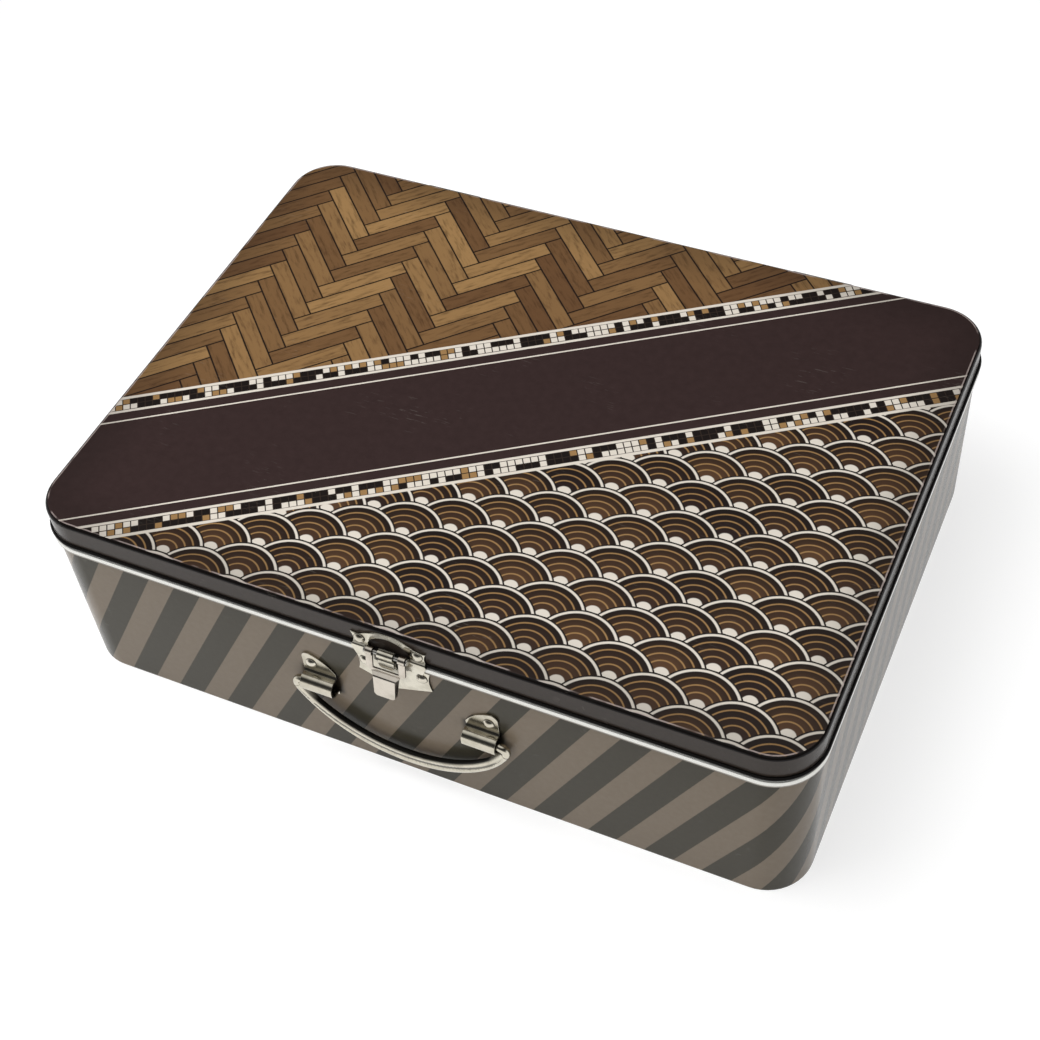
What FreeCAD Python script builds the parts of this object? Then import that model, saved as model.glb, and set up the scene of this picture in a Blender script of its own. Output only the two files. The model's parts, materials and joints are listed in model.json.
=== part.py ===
import FreeCAD
import Part
import math
import os

# Metal lunch box with a hinged lid, a snap hasp and a folding carry handle.
# Millimetres. X runs along the long side, -Y is the latch side, Z is up.
# Sections are drawn in (reach, height): reach is the distance outwards from
# the outer face of the lid skirt, so the same section fits every side.

# Overall sizes
LENGTH = 312.0
WIDTH = 230.0
HEIGHT = 90.0
CORNER_RADIUS = 19.0
SHEET = 0.35

# Lid
LID_DEPTH = 12.3
LID_EDGE_RADIUS = 1.6
LID_CURL_RADIUS = 0.55
LID_CURL_TURN = 285.0

# Body wall
WALL_INSET = 0.4
FOOT_RADIUS = 1.2
FOOT_FLANGE = 5.0
BEAD_HEIGHT = 3.8
BEAD_ROUND = 1.0
BEAD_REACH = 0.9
BEAD_GAP = 0.6
BEAD_BEND = 0.4
NECK_INSET = 1.4
NECK_OVERLAP = 6.3
RIM_CURL_RADIUS = 0.75
RIM_CURL_TURN = 270.0
SEAM_WIDTH = 6.0
SEAM_THICKNESS = 0.7
SEAM_END_GAP = 1.5

# Bottom panel
PANEL_RECESS = 2.2
PANEL_FLANGE = 2.5
PANEL_BEND = 0.7
PANEL_CLEARANCE = 0.15

# How far the swept edge of a flat sheet reaches in before the plain panel
RIM_BAND = 12.0

# Rivets
RIVET_HEAD = 4.8
RIVET_DOME = 1.4
RIVET_SHANK = 2.2
RIVET_TAIL = 3.8
RIVET_TAIL_THICKNESS = 0.5
RIVET_TAIL_BEVEL = 0.25
RIVET_CLEARANCE = 0.05

# Hinges
HINGE_SPACING = 170.0
HINGE_WIDTH = 28.0
HINGE_SHEET = 0.9
HINGE_PIN = 2.0
HINGE_PIN_PROUD = 0.4
HINGE_CLEARANCE = 0.05
HINGE_RIM_GAP = 0.3
KNUCKLE_GAP = 0.2
KNUCKLE_RELIEF = 0.45
KNUCKLE_WRAP = 300.0
LEAF_LENGTH = 9.0
LEAF_TOP_MARGIN = 1.4
LEAF_CORNER = 2.0
LEAF_RIVET_SPACING = 16.0
LEAF_RIVET_FROM_END = 3.6
JOGGLE_ANGLE = 60.0
LEAF_JOGGLE_RADIUS = 1.2

# Upper latch plate, on the lid
LATCH_SHEET = 0.8
LATCH_HALF_WIDTH = 15.2
LATCH_RIVET_X = 11.6
LATCH_WAIST = 0.9
UPPER_PLATE_TOP_MARGIN = 1.4
UPPER_RIVET_DROP = 5.9
UPPER_RIM_GAP = 0.15
UPPER_RIM_MARGIN = 1.1
UPPER_STEP_RADIUS = 0.8
TONGUE_RISE = 0.4
TONGUE_HEIGHT = 4.6
TONGUE_TAPER = 1.8
WING_DROP = 3.5
WING_DIP = 0.4
WING_SIDE_DROP = 7.2
ARCH_HALF_WIDTH = 10.0
ARCH_DROP = 2.7
WINDOW_HALF_WIDTH = 8.4
WINDOW_JAMB = 2.9
WINDOW_CROWN = 1.9

# Hasp and its pin
HASP_PIN = 1.7
HASP_PIN_REACH = 3.0
HASP_PIN_RISE = 2.8
HASP_CLEARANCE = 0.05
HASP_WRAP = 280.0
HASP_BEND = 0.6
HASP_KNUCKLE_HALF = 3.2
HASP_LEG_INNER = 5.2
HASP_LEG_OUTER = 8.0
HASP_LEG_OFFSET = 0.6
HASP_PIN_HEAD = 2.6
HASP_PIN_HEAD_LENGTH = 0.6
HASP_SIDE_PLAY = 0.15
HASP_WINDOW_DROP = 7.2
HASP_BAR = 1.2
HASP_SHOULDER = 2.4
HASP_JOGGLE = 1.8
HASP_JOGGLE_RADIUS = 0.7
FLAP_LENGTH = 8.8
FLAP_HALF_WIDTH = 4.5
FLAP_TIP_HALF_WIDTH = 4.3
FLAP_FLANGE = 3.6
FLAP_TIP_FLANGE = 1.2
FLAP_CORNER = 1.0
HASP_REST_ANGLE = 10.0

# Lower latch plate, on the body, with the nose that the hasp snaps over
CATCH_TOP_GAP = 0.5
CATCH_SIDE = 10.6
CATCH_POINT = 16.2
CATCH_CURVE_X = 8.6
CATCH_CURVE = 13.1
CATCH_RIVET_DROP = 4.0
NOSE_HALF_WIDTH = 3.2
NOSE_SLOT = 0.3
NOSE_TONGUE_GAP = 0.25
NOSE_OVERHANG = 0.2
NOSE_BAR_GAP = 0.4
NOSE_TOP_GAP = 0.6
NOSE_CORNER = 1.6

# Handle ears
EAR_SHEET = 0.9
EAR_CENTRE_X = 33.9
EAR_LENGTH = 13.6
EAR_HEIGHT_SHARE = 0.66
EAR_BARREL_HEIGHT = 8.0
EAR_BARREL_DEPTH = 6.2
EAR_BEND = 0.8
EAR_BARREL_RADIUS = 3.0
EAR_LIP = 1.6
EAR_PLATE_RISE = 11.0
EAR_PLATE_LOW = 2.4
EAR_PLATE_CROWN = 1.0
EAR_CORNER = 3.0
EAR_RIVET_RISE = 5.6
EAR_RIVET_FROM_END = 3.8

# Carry handle
HANDLE_PIN = 3.4
HANDLE_END = 3.6
HANDLE_REACH = 3.2
HANDLE_OUTER_RADIUS = 50.4
HANDLE_SWEEP = 64.0
HANDLE_BAND = 7.0
HANDLE_THICKNESS = 3.0
HANDLE_GROOVE = 0.5
HANDLE_GROOVE_SHARE = 0.4
HANDLE_SQUARENESS = 0.7
HANDLE_BEND = 2.6
HANDLE_PIN_LENGTH = 11.0
HANDLE_SECTIONS = 9
HANDLE_SECTION_POINTS = 20

# Worked out from the sizes above
SKIRT_EDGE = HEIGHT - LID_DEPTH
BEAD_TOP = SKIRT_EDGE - BEAD_GAP
BEAD_BOTTOM = BEAD_TOP - BEAD_HEIGHT
WALL_FACE = -WALL_INSET
WALL_INSIDE = WALL_FACE - SHEET
HALF_SHEET = SHEET / 2
LID_CURL_REACH = 2 * LID_CURL_RADIUS
RIM_REACH = max(LID_CURL_REACH, BEAD_REACH)
RIVET_HOLE = RIVET_SHANK + 2 * RIVET_CLEARANCE
HINGE_KNUCKLE_LINE = HINGE_PIN / 2 + HINGE_CLEARANCE + HINGE_SHEET / 2
HINGE_KNUCKLE_RADIUS = HINGE_KNUCKLE_LINE + HINGE_SHEET / 2
HINGE_STRIP_REACH = RIM_REACH + HINGE_RIM_GAP + HINGE_SHEET / 2
HINGE_AXIS_REACH = HINGE_STRIP_REACH + HINGE_KNUCKLE_LINE
HINGE_AXIS_HEIGHT = (SKIRT_EDGE + BEAD_TOP) / 2
HINGE_THIRD = (HINGE_WIDTH - 2 * KNUCKLE_GAP) / 3
HASP_KNUCKLE_LINE = HASP_PIN / 2 + HASP_CLEARANCE + LATCH_SHEET / 2
HASP_KNUCKLE_RADIUS = HASP_KNUCKLE_LINE + LATCH_SHEET / 2
HASP_PIN_HEIGHT = SKIRT_EDGE + HASP_PIN_RISE
HASP_LINE = HASP_PIN_REACH + HASP_LEG_OFFSET
HASP_BAR_TOP = HASP_PIN_HEIGHT - HASP_WINDOW_DROP
UPPER_PLATE_TOP = HEIGHT - UPPER_PLATE_TOP_MARGIN
UPPER_PLATE_LOW = BEAD_BOTTOM + TONGUE_RISE
UPPER_STEP = RIM_REACH + UPPER_RIM_GAP
UPPER_STEP_TOP = SKIRT_EDGE + LID_CURL_REACH + SHEET + UPPER_RIM_MARGIN
TONGUE_FACE = UPPER_STEP + LATCH_SHEET
CATCH_TOP = BEAD_BOTTOM - CATCH_TOP_GAP
EAR_BARREL_TOP = EAR_HEIGHT_SHARE * BEAD_BOTTOM
EAR_INNER_X = EAR_CENTRE_X - EAR_LENGTH / 2
EAR_OUTER_X = EAR_CENTRE_X + EAR_LENGTH / 2
EAR_RIVET_X = EAR_OUTER_X - EAR_RIVET_FROM_END
EAR_RIVET_HEIGHT = EAR_BARREL_TOP + EAR_RIVET_RISE
HANDLE_PIVOT_HEIGHT = EAR_BARREL_TOP - EAR_BARREL_HEIGHT / 2

# Two places closer than this are one place
TOUCHING = 0.01

ORIGIN = FreeCAD.Vector(0, 0, 0)
X_AXIS = FreeCAD.Vector(1, 0, 0)
Y_AXIS = FreeCAD.Vector(0, 1, 0)
Z_AXIS = FreeCAD.Vector(0, 0, 1)


def point(reach, height):
    """A point of a section or an outline, drawn in the XZ plane."""
    return FreeCAD.Vector(reach, 0, height)


def line(start, end):
    return Part.LineSegment(point(*start), point(*end)).toShape()


def arc(start, middle, end):
    return Part.Arc(point(*start), point(*middle), point(*end)).toShape()


def face_of(edges):
    return Part.Face(Part.Wire(Part.__sortEdges__(edges)))


def joined(shapes):
    """One solid from solids that share faces or overlap."""
    return shapes[0].fuse(shapes[1:]).removeSplitter()


def sheet_section(start, heading, moves, thickness):
    """Section of a bent sheet, whose middle line is walked in straights and bends.

    A move is (length,) or (radius, turn), with a turn to the left positive.
    """
    half = thickness / 2
    edges = []
    spot = start
    angle = math.radians(heading)

    def beside(place, direction, distance):
        return (place[0] - math.sin(direction) * distance, place[1] + math.cos(direction) * distance)

    edges.append(line(beside(spot, angle, half), beside(spot, angle, -half)))
    for move in moves:
        if len(move) == 1:
            end = (spot[0] + math.cos(angle) * move[0], spot[1] + math.sin(angle) * move[0])
            for offset in (half, -half):
                edges.append(line(beside(spot, angle, offset), beside(end, angle, offset)))
            spot = end
            continue
        radius, turn = move
        sign = math.copysign(1.0, turn)
        centre = beside(spot, angle, sign * radius)
        stops = [angle + math.radians(turn) * share for share in (0, 0.5, 1)]
        for offset in (half, -half):
            edges.append(arc(*[beside(centre, stop, offset - sign * radius) for stop in stops]))
        angle = stops[-1]
        spot = beside(centre, angle, -sign * radius)
    edges.append(line(beside(spot, angle, half), beside(spot, angle, -half)))
    return face_of(edges)


def joggle(offset, radius, side):
    """Moves that shift a sheet sideways by offset, to the left for side 1, and their rise."""
    bend = math.radians(JOGGLE_ANGLE)
    slope = (offset - 2 * radius * (1 - math.cos(bend))) / math.sin(bend)
    rise = 2 * radius * math.sin(bend) + slope * math.cos(bend)
    moves = [(radius, side * JOGGLE_ANGLE), (slope,), (radius, -side * JOGGLE_ANGLE)]
    return moves, rise


def around_rim(section):
    """Carries a section once round the rounded rectangle of the box."""
    at_corner = section.translated(X_AXIS * CORNER_RADIUS)
    corner = at_corner.revolve(ORIGIN, Z_AXIS, 90)
    runs = (LENGTH - 2 * CORNER_RADIUS, WIDTH - 2 * CORNER_RADIUS)
    pieces = []
    for index, (side_x, side_y) in enumerate([(1, 1), (-1, 1), (-1, -1), (1, -1)]):
        centre = FreeCAD.Vector(side_x * runs[0] / 2, side_y * runs[1] / 2, 0)
        pieces.append(corner.rotated(ORIGIN, Z_AXIS, 90 * index).translated(centre))
        turn = 90 * (index + 1)
        along = FreeCAD.Rotation(Z_AXIS, turn).multVec(Y_AXIS)
        run = at_corner.rotated(ORIGIN, Z_AXIS, turn).extrude(along * runs[index % 2])
        pieces.append(run.translated(centre))
    return joined(pieces)


def runs_along(edge, axis):
    """Whether an edge is straight along an axis."""
    run = edge.Vertexes[-1].Point - edge.Vertexes[0].Point
    return run.cross(axis).Length < TOUCHING and run.Length > TOUCHING


def flat_panel(low):
    """The plain middle of a lid or bottom, inside the swept edge."""
    half_x = LENGTH / 2 - RIM_BAND
    half_y = WIDTH / 2 - RIM_BAND
    plate = Part.makeBox(2 * half_x, 2 * half_y, SHEET, FreeCAD.Vector(-half_x, -half_y, low))
    upright = [edge for edge in plate.Edges if runs_along(edge, Z_AXIS)]
    return plate.makeFillet(CORNER_RADIUS - RIM_BAND, upright)


def on_front(shape):
    """Moves a shape drawn at the lid's skirt to the front side, where -Y is outwards."""
    return shape.translated(Y_AXIS * (-WIDTH / 2))


def to_back(shape):
    """Turns a shape from the front side round to the back."""
    return shape.rotated(ORIGIN, Z_AXIS, 180)


def across_front(section, low_x, high_x):
    """A section on the front side, drawn out between two places along X."""
    turned = section.rotated(ORIGIN, Z_AXIS, -90).translated(X_AXIS * low_x)
    return on_front(turned.extrude(X_AXIS * (high_x - low_x)))


def front_prism(outline, low_reach, high_reach):
    """A prism on the front side, from an outline drawn in (X, Z)."""
    face = face_of(outline).translated(Y_AXIS * -low_reach)
    return on_front(face.extrude(Y_AXIS * (low_reach - high_reach)))


def front_box(low_x, high_x, low_reach, high_reach, low_z, high_z):
    corner = FreeCAD.Vector(low_x, -high_reach, low_z)
    return on_front(Part.makeBox(high_x - low_x, high_reach - low_reach, high_z - low_z, corner))


def front_hole(x, z, low_reach, high_reach):
    """The drill for one rivet."""
    base = FreeCAD.Vector(x, -low_reach, z)
    return on_front(Part.makeCylinder(RIVET_HOLE / 2, high_reach - low_reach, base, -Y_AXIS))


def bar_along_x(reach, height, diameter, low_x, high_x):
    base = FreeCAD.Vector(low_x, -reach, height)
    return on_front(Part.makeCylinder(diameter / 2, high_x - low_x, base, X_AXIS))


def rivet(x, z, seat, grip):
    """A domed rivet on the front: its head sits on seat, and grip is the stack it holds."""
    head = RIVET_HEAD / 2
    radius = (head ** 2 + RIVET_DOME ** 2) / (2 * RIVET_DOME)
    half_angle = math.asin(head / radius) / 2
    peak = seat + RIVET_DOME
    crown = (radius * math.sin(half_angle), peak - radius * (1 - math.cos(half_angle)))
    shank = RIVET_SHANK / 2
    tail = RIVET_TAIL / 2
    back = seat - grip
    end = back - RIVET_TAIL_THICKNESS
    corners = [(head, seat), (shank, seat), (shank, back), (tail, back)]
    corners += [(tail - RIVET_TAIL_BEVEL, end), (0, end), (0, peak)]
    edges = [line(a, b) for a, b in zip(corners, corners[1:])]
    edges.append(arc((0, peak), crown, (head, seat)))
    turned = face_of(edges).revolve(ORIGIN, Z_AXIS, 360)
    return on_front(turned.rotated(ORIGIN, X_AXIS, 90).translated(point(x, z)))


def rounded_end(solid, height, radius):
    """Rounds the two corners of a sheet at its free end."""
    corners = [edge for edge in solid.Edges if runs_along(edge, Y_AXIS)]
    corners = [edge for edge in corners if abs(edge.CenterOfMass.z - height) < TOUCHING]
    return solid.makeFillet(radius, corners)


def hinge_centres():
    return (-HINGE_SPACING / 2, HINGE_SPACING / 2)


def leaf_rivet_places(height):
    """Rivet places of both hinges at one height."""
    half = LEAF_RIVET_SPACING / 2
    return [(centre + side * half, height) for centre in hinge_centres() for side in (-1, 1)]


def both_sides(x, z):
    return [(-x, z), (x, z)]


BODY_LEAF_TOP = BEAD_BOTTOM - HINGE_RIM_GAP
BODY_LEAF_JOGGLE = joggle(HINGE_STRIP_REACH - WALL_FACE - HINGE_SHEET / 2, LEAF_JOGGLE_RADIUS, -1)
BODY_LEAF_LOW = BODY_LEAF_TOP - BODY_LEAF_JOGGLE[1] - LEAF_LENGTH
LID_LEAF_LOW = HINGE_AXIS_HEIGHT + HINGE_KNUCKLE_RADIUS + KNUCKLE_RELIEF
LID_LEAF_JOGGLE = joggle(HINGE_STRIP_REACH - HINGE_SHEET / 2, LEAF_JOGGLE_RADIUS, 1)
LID_LEAF_TOP = HEIGHT - LEAF_TOP_MARGIN

BODY_LEAF_RIVETS = leaf_rivet_places(BODY_LEAF_LOW + LEAF_RIVET_FROM_END)
LID_LEAF_RIVETS = leaf_rivet_places(LID_LEAF_TOP - LEAF_RIVET_FROM_END)
UPPER_RIVETS = both_sides(LATCH_RIVET_X, UPPER_PLATE_TOP - UPPER_RIVET_DROP)
CATCH_RIVETS = both_sides(LATCH_RIVET_X, CATCH_TOP - CATCH_RIVET_DROP)
EAR_RIVETS = both_sides(EAR_RIVET_X, EAR_RIVET_HEIGHT)


def wall_holes(places):
    return [front_hole(x, z, WALL_INSIDE - SHEET, WALL_FACE + SHEET) for x, z in places]


def skirt_holes(places):
    return [front_hole(x, z, -2 * SHEET, SHEET) for x, z in places]


def body_wall():
    """Side wall: foot flange, wall, rolled shoulder bead, neck and in-curled rim."""
    wall_line = WALL_FACE - HALF_SHEET
    neck_line = -NECK_INSET - HALF_SHEET
    bead_line = BEAD_ROUND - HALF_SHEET
    bead_middle = BEAD_REACH - BEAD_ROUND
    bead_start = BEAD_BOTTOM + HALF_SHEET - BEAD_BEND
    neck_start = BEAD_TOP - HALF_SHEET + BEAD_BEND
    neck_end = SKIRT_EDGE + NECK_OVERLAP - RIM_CURL_RADIUS - HALF_SHEET
    moves = [
        (FOOT_FLANGE - HALF_SHEET - FOOT_RADIUS,),
        (FOOT_RADIUS, 90),
        (bead_start - HALF_SHEET - FOOT_RADIUS,),
        (BEAD_BEND, -90),
        (bead_middle - wall_line - BEAD_BEND,),
        (bead_line, 90),
        (BEAD_HEIGHT - 2 * BEAD_ROUND,),
        (bead_line, 90),
        (bead_middle - neck_line - BEAD_BEND,),
        (BEAD_BEND, -90),
        (neck_end - neck_start,),
        (RIM_CURL_RADIUS, RIM_CURL_TURN),
    ]
    section = sheet_section((WALL_FACE - FOOT_FLANGE, HALF_SHEET), 0, moves, SHEET)
    seam_low = PANEL_RECESS + 2 * SHEET + SEAM_END_GAP
    seam_high = bead_start - SEAM_END_GAP
    half_seam = SEAM_WIDTH / 2
    seam_inside = WALL_INSIDE - SEAM_THICKNESS
    seam = front_box(-half_seam, half_seam, seam_inside, wall_line, seam_low, seam_high)
    holes = wall_holes(CATCH_RIVETS + EAR_RIVETS)
    holes += [to_back(hole) for hole in wall_holes(BODY_LEAF_RIVETS)]
    return joined([around_rim(section), to_back(seam)]).cut(holes)


def bottom_panel():
    """Countersunk bottom that lies on the foot flange."""
    edge = WALL_INSIDE - FOOT_RADIUS - PANEL_CLEARANCE
    lie = 1.5 * SHEET
    moves = [
        (PANEL_FLANGE,),
        (PANEL_BEND, -90),
        (PANEL_RECESS - 2 * PANEL_BEND,),
        (PANEL_BEND, 90),
        (RIM_BAND + edge - PANEL_FLANGE - 2 * PANEL_BEND,),
    ]
    rim = around_rim(sheet_section((edge, lie), 180, moves, SHEET))
    return joined([rim, flat_panel(lie + PANEL_RECESS - HALF_SHEET)])


def lid_shell():
    """Drawn lid: flat top, tight edge and a skirt whose rim is rolled outwards."""
    curl_reach = LID_CURL_RADIUS - HALF_SHEET
    curl_height = SKIRT_EDGE + LID_CURL_RADIUS + HALF_SHEET
    moves = [
        (LID_CURL_RADIUS, -LID_CURL_TURN),
        (HEIGHT - LID_EDGE_RADIUS - curl_height,),
        (LID_EDGE_RADIUS - HALF_SHEET, 90),
        (RIM_BAND - LID_EDGE_RADIUS,),
    ]
    turn = math.radians(LID_CURL_TURN)
    start_reach = curl_reach - LID_CURL_RADIUS * math.cos(turn)
    start_height = curl_height - LID_CURL_RADIUS * math.sin(turn)
    section = sheet_section((start_reach, start_height), 90 + LID_CURL_TURN, moves, SHEET)
    rim = around_rim(section)
    holes = skirt_holes(UPPER_RIVETS)
    holes += [to_back(hole) for hole in skirt_holes(LID_LEAF_RIVETS)]
    return joined([rim, flat_panel(HEIGHT - SHEET)]).cut(holes)


def hinge_leaf(plate_section, knuckle_section, knuckles, end_height, places):
    """A leaf: plate over the full width, rolled knuckles only where they belong."""
    half = HINGE_WIDTH / 2
    pieces = [across_front(plate_section, -half, half)]
    pieces += [across_front(knuckle_section, low, high) for low, high in knuckles]
    leaf = rounded_end(joined(pieces), end_height, LEAF_CORNER)
    half_spacing = LEAF_RIVET_SPACING / 2
    height = places[0][1]
    drills = [front_hole(x, height, WALL_INSIDE, 2 * HINGE_SHEET) for x in (-half_spacing, half_spacing)]
    return to_back(leaf.cut(drills))


def hinge_body_leaf():
    plate_moves = [(LEAF_LENGTH,)] + BODY_LEAF_JOGGLE[0]
    plate = sheet_section((WALL_FACE + HINGE_SHEET / 2, BODY_LEAF_LOW), 90, plate_moves, HINGE_SHEET)
    knuckle_moves = [(HINGE_AXIS_HEIGHT - BODY_LEAF_TOP,), (HINGE_KNUCKLE_LINE, -KNUCKLE_WRAP)]
    knuckle = sheet_section((HINGE_STRIP_REACH, BODY_LEAF_TOP), 90, knuckle_moves, HINGE_SHEET)
    inner = HINGE_THIRD / 2 + KNUCKLE_GAP
    outer = HINGE_WIDTH / 2
    return hinge_leaf(plate, knuckle, [(-outer, -inner), (inner, outer)], BODY_LEAF_LOW, BODY_LEAF_RIVETS)


def hinge_lid_leaf():
    flat = LID_LEAF_TOP - LID_LEAF_LOW - LID_LEAF_JOGGLE[1]
    plate_moves = [(flat,)] + LID_LEAF_JOGGLE[0]
    plate = sheet_section((HINGE_SHEET / 2, LID_LEAF_TOP), -90, plate_moves, HINGE_SHEET)
    knuckle_moves = [(LID_LEAF_LOW - HINGE_AXIS_HEIGHT,), (HINGE_KNUCKLE_LINE, KNUCKLE_WRAP)]
    knuckle = sheet_section((HINGE_STRIP_REACH, LID_LEAF_LOW), -90, knuckle_moves, HINGE_SHEET)
    half = HINGE_THIRD / 2
    return hinge_leaf(plate, knuckle, [(-half, half)], LID_LEAF_TOP, LID_LEAF_RIVETS)


def hinge_pin():
    end = HINGE_WIDTH / 2 + HINGE_PIN_PROUD
    pin = bar_along_x(HINGE_AXIS_REACH, HINGE_AXIS_HEIGHT, HINGE_PIN, -end, end)
    rims = [edge for edge in pin.Edges if edge.isClosed()]
    return to_back(pin.makeChamfer(HINGE_PIN_PROUD / 2, rims))


def hinge_rivets(places, seat):
    return Part.makeCompound([to_back(rivet(x, z, seat, HINGE_SHEET + SHEET)) for x, z in places])


def latch_hasp_plate():
    """Arched plate on the lid: it steps over the rolled rim and ends in the hasp's knuckle."""
    top = UPPER_PLATE_TOP
    low = UPPER_PLATE_LOW
    wing = top - WING_DROP
    spring = top - ARCH_DROP
    half = LATCH_HALF_WIDTH
    waist = (half - LATCH_WAIST, top - WING_SIDE_DROP)
    foot = half - TONGUE_TAPER
    tongue_top = low + TONGUE_HEIGHT
    between = (half + ARCH_HALF_WIDTH) / 2
    outline = [
        line((-foot, low), (foot, low)),
        line((foot, low), (half, tongue_top)),
        arc((half, tongue_top), waist, (half, wing)),
        arc((half, wing), (between, wing - WING_DIP), (ARCH_HALF_WIDTH, spring)),
        arc((ARCH_HALF_WIDTH, spring), (0, top), (-ARCH_HALF_WIDTH, spring)),
        arc((-ARCH_HALF_WIDTH, spring), (-between, wing - WING_DIP), (-half, wing)),
        arc((-half, wing), (-waist[0], waist[1]), (-half, tongue_top)),
        line((-half, tongue_top), (-foot, low)),
    ]
    jamb = tongue_top + WINDOW_JAMB
    side = WINDOW_HALF_WIDTH
    window = [
        line((-side, tongue_top), (side, tongue_top)),
        line((side, tongue_top), (side, jamb)),
        arc((side, jamb), (0, top - WINDOW_CROWN), (-side, jamb)),
        line((-side, jamb), (-side, tongue_top)),
    ]
    step, step_drop = joggle(UPPER_STEP, UPPER_STEP_RADIUS, 1)
    moves = [(top - UPPER_STEP_TOP,)] + step + [(UPPER_STEP_TOP - step_drop - low,)]
    sheet = across_front(sheet_section((LATCH_SHEET / 2, top), -90, moves, LATCH_SHEET), -half, half)
    plate = sheet.common(front_prism(outline, -LATCH_SHEET, HASP_PIN_REACH))
    plate = plate.cut(front_prism(window, -LATCH_SHEET, HASP_PIN_REACH))
    shelf = HASP_PIN_HEIGHT - HASP_KNUCKLE_LINE
    tongue_line = UPPER_STEP + LATCH_SHEET / 2
    moves = [
        (shelf - HASP_BEND - low,),
        (HASP_BEND, -90),
        (HASP_PIN_REACH - tongue_line - HASP_BEND,),
        (HASP_KNUCKLE_LINE, HASP_WRAP),
    ]
    section = sheet_section((tongue_line, low), 90, moves, LATCH_SHEET)
    knuckle = across_front(section, -HASP_KNUCKLE_HALF, HASP_KNUCKLE_HALF)
    drills = [front_hole(x, z, -SHEET, 2 * LATCH_SHEET) for x, z in UPPER_RIVETS]
    return joined([plate, knuckle]).cut(drills)


def hasp_pin():
    shank_end = HASP_LEG_OUTER + HASP_SIDE_PLAY
    head_end = shank_end + HASP_PIN_HEAD_LENGTH
    shank = bar_along_x(HASP_PIN_REACH, HASP_PIN_HEIGHT, HASP_PIN, -shank_end, shank_end)
    heads = []
    for low, high in ((-head_end, -shank_end), (shank_end, head_end)):
        heads.append(bar_along_x(HASP_PIN_REACH, HASP_PIN_HEIGHT, HASP_PIN_HEAD, low, high))
    return joined([shank] + heads)


def latch_hasp():
    """Hasp, drawn snapped shut and then swung out to its resting angle."""
    start = HASP_PIN_HEIGHT - HASP_PIN / 2
    step = HASP_BAR_TOP - HASP_BAR
    shift, drop = joggle(HASP_JOGGLE, HASP_JOGGLE_RADIUS, 1)
    moves = [(start - step,)] + shift + [(FLAP_LENGTH,)]
    outer = HASP_LEG_OUTER
    inner = HASP_LEG_INNER
    sheet = across_front(sheet_section((HASP_LINE, start), -90, moves, LATCH_SHEET), -outer, outer)
    shoulder = HASP_BAR_TOP - HASP_SHOULDER
    tip = step - drop - FLAP_LENGTH
    corners = [(-inner, start), (-outer, start), (-outer, HASP_BAR_TOP), (-FLAP_HALF_WIDTH, shoulder)]
    corners += [(-FLAP_TIP_HALF_WIDTH, tip + FLAP_CORNER), (-FLAP_TIP_HALF_WIDTH + FLAP_CORNER, tip)]
    corners += [(FLAP_TIP_HALF_WIDTH - FLAP_CORNER, tip), (FLAP_TIP_HALF_WIDTH, tip + FLAP_CORNER)]
    corners += [(FLAP_HALF_WIDTH, shoulder), (outer, HASP_BAR_TOP), (outer, start), (inner, start)]
    corners += [(inner, HASP_BAR_TOP), (-inner, HASP_BAR_TOP)]
    outline = [line(a, b) for a, b in zip(corners, corners[1:] + corners[:1])]
    pieces = [sheet.common(front_prism(outline, 0, HASP_PIN_REACH * 3))]
    bore = HASP_PIN + 2 * HASP_CLEARANCE
    flap_back = HASP_LINE + HASP_JOGGLE - LATCH_SHEET / 2
    flange_top = step - drop
    flange_low = tip + FLAP_CORNER
    section = face_of([
        line((flap_back, flange_top), (flap_back - FLAP_FLANGE, flange_top)),
        line((flap_back - FLAP_FLANGE, flange_top), (flap_back - FLAP_TIP_FLANGE, flange_low)),
        line((flap_back - FLAP_TIP_FLANGE, flange_low), (flap_back, flange_low)),
        line((flap_back, flange_low), (flap_back, flange_top)),
    ])
    for side in (-1, 1):
        low_x, high_x = sorted((side * inner, side * outer))
        ring = bar_along_x(HASP_PIN_REACH, HASP_PIN_HEIGHT, 2 * HASP_KNUCKLE_RADIUS, low_x, high_x)
        pieces.append(ring)
        low_x, high_x = sorted((side * (FLAP_TIP_HALF_WIDTH - LATCH_SHEET), side * FLAP_TIP_HALF_WIDTH))
        pieces.append(across_front(section, low_x, high_x))
    solid = joined(pieces).cut(bar_along_x(HASP_PIN_REACH, HASP_PIN_HEIGHT, bore, -outer, outer))
    pivot = FreeCAD.Vector(0, -WIDTH / 2 - HASP_PIN_REACH, HASP_PIN_HEIGHT)
    return solid.rotated(pivot, -X_AXIS, HASP_REST_ANGLE)


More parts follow.
